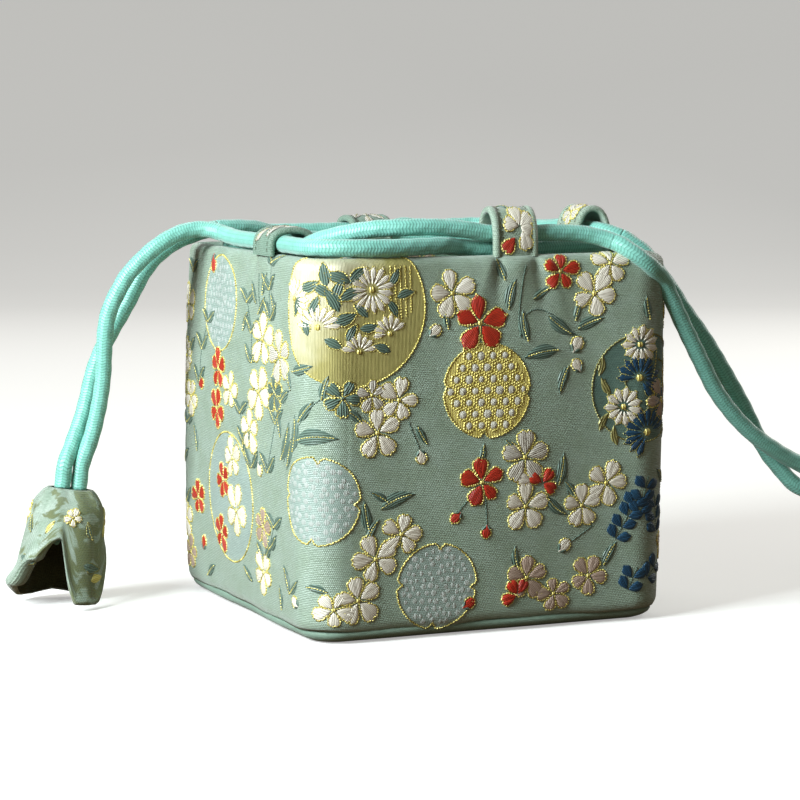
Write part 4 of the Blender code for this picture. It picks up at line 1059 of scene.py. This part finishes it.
RIGHT_CORD_ROUTE = [
    (0.1053, -0.0459, 0.0342), (0.1021, -0.0453, 0.0365), (0.0997, -0.0447, 0.0393),
    (0.0975, -0.0443, 0.0418), (0.0953, -0.0439, 0.0446), (0.0916, -0.0430, 0.0508),
    (0.0875, -0.0423, 0.0589), (0.0809, -0.0416, 0.0699), (0.0744, -0.0411, 0.0798),
    (0.0684, -0.0400, 0.0880), (0.0647, -0.0384, 0.0943), (0.0622, -0.0365, 0.0984),
    (0.0609, -0.0345, 0.1016), (0.0592, -0.0325, 0.1045), (0.0565, -0.0310, 0.1068),
    (0.0535, -0.0292, 0.1090), (0.0501, -0.0265, 0.1104), (0.0488, -0.0225, 0.1110),
    (0.0490, -0.0160, 0.1111), (0.0490, -0.0095, 0.1113), (0.0496, 0.0000, 0.1112),
    (0.0501, 0.0110, 0.1104), (0.0503, 0.0220, 0.1100), (0.0503, 0.0330, 0.1098),
    (0.0484, 0.0428, 0.1098), (0.0425, 0.0487, 0.1097), (0.0340, 0.0503, 0.1095),
    (0.0260, 0.0507, 0.1093), (0.0185, 0.0507, 0.1100), (0.0115, 0.0508, 0.1089),
    (0.0045, 0.0508, 0.1088), (-0.0025, 0.0508, 0.1088), (-0.0100, 0.0508, 0.1088),
    (-0.0190, 0.0507, 0.1088), (-0.0280, 0.0503, 0.1087), (-0.0355, 0.0485, 0.1081),
    (-0.0410, 0.0441, 0.1067), (-0.0440, 0.0375, 0.1055), (-0.0452, 0.0300, 0.1053),
    (-0.0455, 0.0210, 0.1056), (-0.0455, 0.0110, 0.1059), (-0.0455, 0.0010, 0.1061),
    (-0.0455, -0.0080, 0.1063), (-0.0455, -0.0140, 0.1064), (-0.0455, -0.0200, 0.1066),
    (-0.0451, -0.0255, 0.1078), (-0.0434, -0.0320, 0.1100), (-0.0385, -0.0390, 0.1121),
    (-0.0310, -0.0445, 0.1136), (-0.0245, -0.0472, 0.1139), (-0.0180, -0.0482, 0.1140),
    (-0.0120, -0.0485, 0.1137), (-0.0060, -0.0488, 0.1131), (0.0005, -0.0490, 0.1120),
    (0.0075, -0.0490, 0.1118), (0.0145, -0.0490, 0.1118), (0.0230, -0.0490, 0.1117),
    (0.0297, -0.0495, 0.1113), (0.0350, -0.0508, 0.1102), (0.0385, -0.0529, 0.1089),
    (0.0400, -0.0552, 0.1079), (0.0419, -0.0568, 0.1063), (0.0444, -0.0577, 0.1045),
    (0.0482, -0.0573, 0.1018), (0.0534, -0.0542, 0.0983), (0.0565, -0.0527, 0.0937),
    (0.0604, -0.0518, 0.0869), (0.0651, -0.0512, 0.0789), (0.0692, -0.0507, 0.0720),
    (0.0731, -0.0502, 0.0656), (0.0778, -0.0499, 0.0598), (0.0824, -0.0497, 0.0551),
    (0.0880, -0.0495, 0.0505), (0.0943, -0.0491, 0.0465), (0.0993, -0.0486, 0.0437),
    (0.1044, -0.0483, 0.0413),
]
LEFT_EXITS, RIGHT_EXITS = (18, 64), (15, 59)


def carried_frames(line):
    """Two directions across the line at each point, which never twist along it."""
    way = np.gradient(line, axis=0)
    way /= np.linalg.norm(way, axis=1, keepdims=True)
    side = np.cross(way[0], (0.0, 0.0, 1.0))
    if np.linalg.norm(side) < 0.1:
        side = np.cross(way[0], (0.0, 1.0, 0.0))
    sides = []
    for w in way:
        side = side - w * (side @ w)
        side /= np.linalg.norm(side)
        sides.append(side)
    sides = np.array(sides)
    return sides, np.cross(way, sides)


def tube(name, line, sides, others, walked, around=20):
    """A cord's mesh along part of a line, with its braid's place on each corner."""
    turn = np.arange(around) * FULL_TURN / around
    rows = len(line)
    along = walked[:, None]
    uneven = 1 + 0.022 * np.sin(4 * turn[None, :] + along / (0.9 * MM)) + 0.012 * np.sin(along / (7 * MM))
    ring = np.cos(turn)[None, :, None] * sides[:, None, :] + np.sin(turn)[None, :, None] * others[:, None, :]
    points = (line[:, None, :] + CORD / 2 * uneven[..., None] * ring).reshape(-1, 3)
    quads = grid_faces(rows, around, wrap=True, flip=True)
    row_of, turn_of = quads // around, quads % around
    closes = (turn_of.max(axis=1) == around - 1)[:, None]
    share = np.where((turn_of == 0) & closes, 1.0, turn_of / around)
    thread = np.stack([share, walked[row_of] / MM, 0 * share], axis=-1).reshape(-1, 3)
    ends = []
    for centre, row, order in ((len(points), 0, 1), (len(points) + 1, rows - 1, -1)):
        for i in range(0, around, 2):
            ends.append([centre] + [row * around + (i + k) % around for k in (0, 1, 2)][::order])
    end_thread = np.tile((0.1, 0.1, 0.0), (4 * len(ends), 1))
    return make_mesh(name, np.vstack([points, line[:1], line[-1:]]), np.vstack([quads, ends]),
                     np.vstack([thread, end_thread]), "cord")


def bell_stand(side, tilt):
    """Where a bellflower stands: the hinge of its swing is its neck."""
    joint = next(j for j in frame["joints"] if j["name"] == f"{side}_end_swing")
    return Matrix.Translation(joint["pos_m"]) @ Matrix.Rotation(tilt, 4, "Y")


def stood(stand, points):
    matrix = np.array(stand)
    return np.asarray(points) @ matrix[:3, :3].T + matrix[:3, 3]


class Bell:
    """The bellflower's cloth: turn round it, and down it from the neck, lifted off its outside.

    flares and depths are for each petal and each notch. A bellflower worn open has its front
    left hem raised by the share opened, its back hem lower, and its front notch turned and steep.
    """

    def __init__(self, stand, petals, flares, depths, opened):
        self.stand, self.petals, self.flares = stand, petals, np.array(flares) * MM
        self.depths, self.opened, self.worn = depths, opened, opened > 0

    def raw(self, turn, down, lift):
        """The point at this turn and way down, before the bellflower is stood at its neck."""
        sideways = turn - self.petals
        neck = np.sin(math.pi / 2 * np.clip(down / SHOULDER_SHARE, 0, 1))
        swelling = np.clip((down - SHOULDER_SHARE) / (BELLY_SHARE - SHOULDER_SHARE), 0, 1)
        flare = np.clip((down - BELLY_SHARE) / (1 - BELLY_SHARE), 0, 1.3) ** 1.4
        petal = (np.floor(sideways / PETAL_TURN) % PETAL_COUNT).astype(int)
        middle = 1 - np.abs((sideways % PETAL_TURN) / PETAL_TURN * 2 - 1)
        late = np.clip((down - 0.42) / 0.58, 0, 1)
        own = np.choose(petal, self.flares) * late**1.6 * middle**0.7
        pleat = 0.45 * MM * np.cos(9 * turn + 0.6) * np.exp(-down / 0.16) * np.clip(down / 0.03, 0, 1)
        crease = -0.5 * MM * hump(middle - 1, 0.16) * np.clip(down * 2, 0, 1)
        body = (BELL_BELLY - BELL_SHOULDER) * swelling + (BELL_MOUTH - BELL_BELLY) * flare
        wide, thin = (start + (BELL_SHOULDER - start) * neck + body + own + pleat + crease + lift
                      for start in (NECK_WIDE, NECK_THIN))
        drop = down * BELL_LENGTH - 0.35 * np.maximum(own, 0) * late
        return np.stack([wide * np.cos(turn), thin * np.sin(turn), -drop], axis=-1)

    def hem(self, turn):
        """How far down the cloth goes at this turn: less in the notches."""
        whole = turn % FULL_TURN
        turn = turn + self.worn * rad(12) * hump(whole - rad(262), rad(42))
        away = (turn - self.petals + PETAL_TURN / 2) % PETAL_TURN - PETAL_TURN / 2
        half_width = np.where(self.worn & (away > 0), rad(25), NOTCH_HALF_WIDTH)
        notch = np.clip(1 - np.abs(away) / half_width, 0, 1)
        gap = np.floor((turn - self.petals) / PETAL_TURN + 0.5).astype(int) % PETAL_COUNT
        raised = self.opened * np.exp(-(((whole - rad(226)) / rad(34)) ** 4))
        lowered = self.worn * 0.05 * hump(whole - rad(125), rad(50))
        return HEM_SHARE - NOTCH_SHARE * np.choose(gap, self.depths) * notch**0.92 - (raised - lowered)

    def __call__(self, across, up, lift=0.0):
        """For figures: across is the way round in metres at the belly, up the way up from the mouth."""
        turn, down = np.asarray(across) / BELL_BELLY, 1 - np.asarray(up) / BELL_LENGTH
        return stood(self.stand, self.raw(turn, down, BELL_CLOTH + lift))


def make_bell(side, stand, petals, flares, depths, opened):
    """The folded cloth bellflower with its rolled hem."""
    bell = Bell(stand, petals, flares, depths, opened)
    columns, rows = 128, 34
    turn = (np.arange(columns) * FULL_TURN / columns + petals)[None, :]
    hem = bell.hem(turn)
    share = np.linspace(0, 1, rows)[:, None]
    down = share * hem
    curled = hump(turn % FULL_TURN - rad(203), rad(48)) * bell.worn
    roll = (0.55 + 1.9 * curled) * MM * hump((1 - share) * 33 * hem, 2.4 + 1.6 * curled)
    inner = bell.raw(turn, down, -roll * 0.6)
    outer = bell.raw(turn, down, BELL_CLOTH + roll)
    past_hem, edge_lift = np.array([[0.012], [0.02], [0.012]]), np.array([[-0.05], [0.5], [1.05]])
    edge = bell.raw(turn, hem + past_hem, edge_lift * BELL_CLOTH)
    section = np.concatenate([inner, edge, outer[::-1]], axis=0)
    total = len(section)
    quads = grid_faces(total, columns, wrap=True)
    first = np.arange(columns)
    beside, last = (first + 1) % columns, (total - 1) * columns
    quads = np.vstack([quads, np.stack([last + first, last + beside, beside, first], axis=1)])
    thread = np.stack(np.broadcast_arrays(turn * BELL_BELLY / MM, np.arange(total)[:, None], 0.0), axis=-1)
    piece = make_mesh(f"{side}_bellflower", stood(stand, section), quads, thread, "bell_cloth")
    # The inner faces take the dark olive of painted shade.
    piece.data.materials.append(MATERIALS["bell_inside_painted_shade"])
    inside = (quads // columns).max(axis=1) < rows
    piece.data.polygons.foreach_set("material_index", inside.astype(np.int32))
    place_piece(piece, f"{side}_flower", "brocade", f"{side}_flower_end")
    marks = Figures(f"{side}_bellflower_figures", bell, 1.0)
    for number in range(PETAL_COUNT):
        open_side = number == 2
        marks.shift = (petals + rad(45 + 90 * number - 10 * open_side)) * BELL_BELLY
        marks.leaves((5.0, 22.0, 60, 5.0), kind="gold_cloth", vein="dim_gold")
        marks.leaves((-2.6, 22.0, 110, 5.6), outline="dim_gold")
        if not open_side:
            marks.leaves((1.0, 8.0, 15, 5.0), broad=0.52, kind="gold_cloth", vein=None)
        marks.leaves((-1.2, 11.4, -10, 6.4), broad=3.0 / 6.4, vein=None, outline="dim_gold")
        marks.flowers(("white", -8.6, 25.5, 2.8, 20 * number))
    marks.build(f"{side}_flower")
    return piece


def make_knot(side, stand):
    """The cord's two ends in the neck, and the two flattened turns that stop them."""
    around = 12
    lines = []
    for x in (-CORD_PAIR / 2, CORD_PAIR / 2):
        end = [(x, 0, -z * MM) for z in np.linspace(0.1, 14.2, 12)]
        end += [(x * 0.9, 0, -14.8 * MM), (x * 0.6, 0, -15.0 * MM)]
        lines.append((np.array(end), CORD / 2 * 0.98))
    turn = np.linspace(0, FULL_TURN, 33)
    for depth, lean in ((9.2, 0.16), (12.4, -0.16)):
        x, y = 4.2 * MM * np.cos(turn), 3.4 * MM * np.sin(turn)
        lines.append((np.stack([x, y, -depth * MM + lean * y], axis=-1), 1.85 * MM))
    points, faces, thread, count = [], [], [], 0
    turn = (np.arange(around) * FULL_TURN / around)[None, :, None]
    for line, radius in lines:
        sides, others = (x[:, None, :] for x in carried_frames(line))
        ring = radius * (np.cos(turn) * sides + np.sin(turn) * others)
        points.append((line[:, None, :] + ring).reshape(-1, 3))
        faces.append(grid_faces(len(line), around, wrap=True, flip=True) + count)
        along = walked_along(line)[:, None] / MM
        place = np.stack(np.broadcast_arrays(turn[..., 0] / FULL_TURN, along, 0.0), axis=-1)
        thread.append(place.reshape(-1, 3))
        count += len(line) * around
    points, faces, thread = (np.vstack(part) for part in (points, faces, thread))
    piece = make_mesh(f"{side}_knot", stood(stand, points), faces, thread, "cord")
    place_piece(piece, f"{side}_flower", "cord", f"{side}_end_knot")
    return piece


def make_cords(side, route, exits, stand, first, names, bell, knot):
    """One cord, from its end in the bellflower round the mouth and back to it, as three pieces."""
    route = np.array(route)
    start, end = ([stood(stand, (x * CORD_PAIR / 2, 0, CORD_STRAIGHT * up)) for up in (0.0, 0.5, 1.0)]
                  for x in (first, -first))
    line, walked = spaced(curve_through(np.vstack([start, route, end[::-1]])), 0.6 * MM)
    line = softened(line, 3)
    sides, others = carried_frames(line)
    cuts = [int(np.argmin(np.linalg.norm(line - route[number], axis=1))) for number in exits]
    spans = ((0, cuts[0]), (cuts[0], cuts[1]), (cuts[1], len(line) - 1))
    made = []
    for (low, high), name in zip(spans, (f"{names[0]}_tail", "ring_cord", f"{names[1]}_tail")):
        name, part = f"{side}_{name}", slice(low, high + 1)
        piece = tube(f"{name}_braid", line[part], sides[part], others[part], walked[part])
        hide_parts(name)
        made.append((piece, line[part]))
    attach(made[1][0], "bag")
    for (piece, path), order, far, last in ((made[0], -1, "fitting", bell), (made[2], 1, "knot", knot)):
        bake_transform(piece)
        path = path[::order]


# Floor, lamps and camera

def add_object(name, data):
    thing = bpy.data.objects.new(name, data)
    bpy.context.scene.collection.objects.link(thing)
    return thing


def aim(thing, place, way):
    thing.location = place
    thing.rotation_mode = "QUATERNION"
    thing.rotation_quaternion = way.to_track_quat("-Z", "Y")


def make_stage():
    """A pale floor that sweeps up into a backdrop, soft lamps and the camera."""
    material = bpy.data.materials.new("pale paper")
    material.use_nodes = True
    nodes = Nodes(material.node_tree)
    pale = material.node_tree.nodes["Principled BSDF"]
    for name, value in (("Base Color", shade((222, 222, 220))), ("Roughness", 0.9),
                        ("Specular IOR Level", 0.1), ("Emission Color", shade((226, 226, 224))),
                        ("Emission Strength", 0.5)):
        pale.inputs[name].default_value = value
    dark = nodes.add("BsdfDiffuse", {"Color": shade((104, 84, 66))})
    seen = nodes.add("LightPath").outputs["Is Camera Ray"]
    either = nodes.add("MixShader", {0: seen, 1: dark.outputs[0], 2: pale.outputs[0]})
    nodes.feed(material.node_tree.nodes["Material Output"].inputs["Surface"], either.outputs[0])
    front, back, bend, top, half_width = -3.0, 1.2, 1.2, 4.0, 4.0
    profile = [(front, 0.0), (back, 0.0)]
    profile += [(back + bend * math.sin(t), bend - bend * math.cos(t))
                for t in np.linspace(0.1, math.pi / 2, 14)]
    profile += [(back + bend, top)]
    verts = [(x, y, z) for y, z in profile for x in (-half_width, half_width)]
    faces = [(2 * i, 2 * i + 1, 2 * i + 3, 2 * i + 2) for i in range(len(profile) - 1)]
    mesh = bpy.data.meshes.new("floor and backdrop")
    mesh.from_pydata(verts, [], faces)
    mesh.shade_smooth()
    mesh.materials.append(material)
    floor = add_object("floor_and_backdrop", mesh)
    floor.rotation_euler = (0, 0, -CAMERA_YAW)
    world = bpy.data.worlds.new("soft room light")
    world.use_nodes = True
    world.node_tree.nodes["Background"].inputs["Color"].default_value = shade((238, 230, 214))
    world.node_tree.nodes["Background"].inputs["Strength"].default_value = 0.15
    bpy.context.scene.world = world
    for name, place, size, power, tint in (
        ("window light", (-0.62, -0.205, 0.36), 0.28, 10.8, (0.9, 0.98, 1.0)),
        ("front fill", (-0.35, -1.3, 0.6), 0.8, 1.1, (1.0, 0.92, 0.74)),
        ("back light", (0.0, 0.9, 0.9), 0.6, 4.0, (1.0, 0.99, 0.97)),
        ("side light", (1.0, 0.35, 0.6), 0.7, 6.0, (1.0, 0.98, 0.94)),
    ):
        lamp = bpy.data.lights.new(name, "AREA")
        lamp.size, lamp.energy, lamp.color = size, power, tint
        aim(add_object(name, lamp), place, Vector((0, 0, 0.05)) - Vector(place))
    lens = bpy.data.cameras.new("photo view")
    lens.lens, lens.sensor_width = CAMERA_LENS, 36.0
    camera = add_object("photo view", lens)
    level = math.cos(CAMERA_PITCH)
    forward = Vector((math.sin(CAMERA_YAW) * level, math.cos(CAMERA_YAW) * level, -math.sin(CAMERA_PITCH)))
    aim(camera, CAMERA_PLACE, forward)
    bpy.context.scene.camera = camera
    bpy.context.scene.view_settings.view_transform = "Standard"


def main():
    make_stage()
    # For each cord: route, exits, the bellflower's tilt and turn, the side of the neck that the cord
    # starts on, its two free ends, the bellflower's flares, depths of notch and share opened, and
    # blend, two places along x by the free ends.
    for side, route, exits, tilt, petals, first, names, flares, depths, opened, blend in (
        ("left", LEFT_CORD_ROUTE, LEFT_EXITS, 8, -10, 1, ("front", "back"),
         (0.0, -1.0, -2.0, -0.5), (0.8, 0.06, 0.2, 0.5), 0.34, (-0.052, -0.080)),
        ("right", RIGHT_CORD_ROUTE, RIGHT_EXITS, -55, 0, -1, ("back", "front"),
         (1.0, 0.0, 0.0, 0.5), (1.0, 1.0, 1.0, 1.0), 0.0, (0.045, 0.080)),
    ):
        stand = bell_stand(side, rad(tilt))
        bell = make_bell(side, stand, rad(petals), flares, depths, opened)
        knot = make_knot(side, stand)
        make_cords(side, route, exits, stand, first, names, bell, knot)
    make_brocade()
    make_lining()
    make_base()
    make_wall_pads()
    make_loop("front", draw_front_loop, foot=2.4 * MM, reach=10 * MM, rise=13.1 * MM, power=0.6)
    make_loop("right", draw_right_loop, foot=2.4 * MM, reach=10 * MM, rise=11.8 * MM, power=0.6)
    # The back and left loops take the darker jade of painted shade.
    for name in ("back", "left"):
        make_loop(name, draw_low_loop, "jade_painted_shade", foot=0.5 * MM, reach=12.7 * MM, rise=7.1 * MM,
                  power=0.4)
    for name, shift in (("pattern_a", 0.0), ("pattern_b", GIRTH / 2)):
        figures = Figures(name, on_wall, SEAM_TOP - 0.1 * MM, shift)
        draw_repeat(figures)
        figures.build()


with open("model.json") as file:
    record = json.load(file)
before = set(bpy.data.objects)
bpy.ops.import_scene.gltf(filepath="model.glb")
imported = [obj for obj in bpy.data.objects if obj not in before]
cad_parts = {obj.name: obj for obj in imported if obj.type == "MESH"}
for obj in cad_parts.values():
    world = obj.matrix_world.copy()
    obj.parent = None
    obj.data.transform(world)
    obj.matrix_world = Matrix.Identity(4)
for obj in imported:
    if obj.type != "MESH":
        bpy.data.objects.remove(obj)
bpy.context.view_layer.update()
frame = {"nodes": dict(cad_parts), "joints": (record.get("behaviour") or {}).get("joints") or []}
WEAVE, SATIN, BRAID = make_weave_group(), make_satin_group(), make_braid_group()
MATERIALS = make_materials()
main()
bpy.context.view_layer.update()
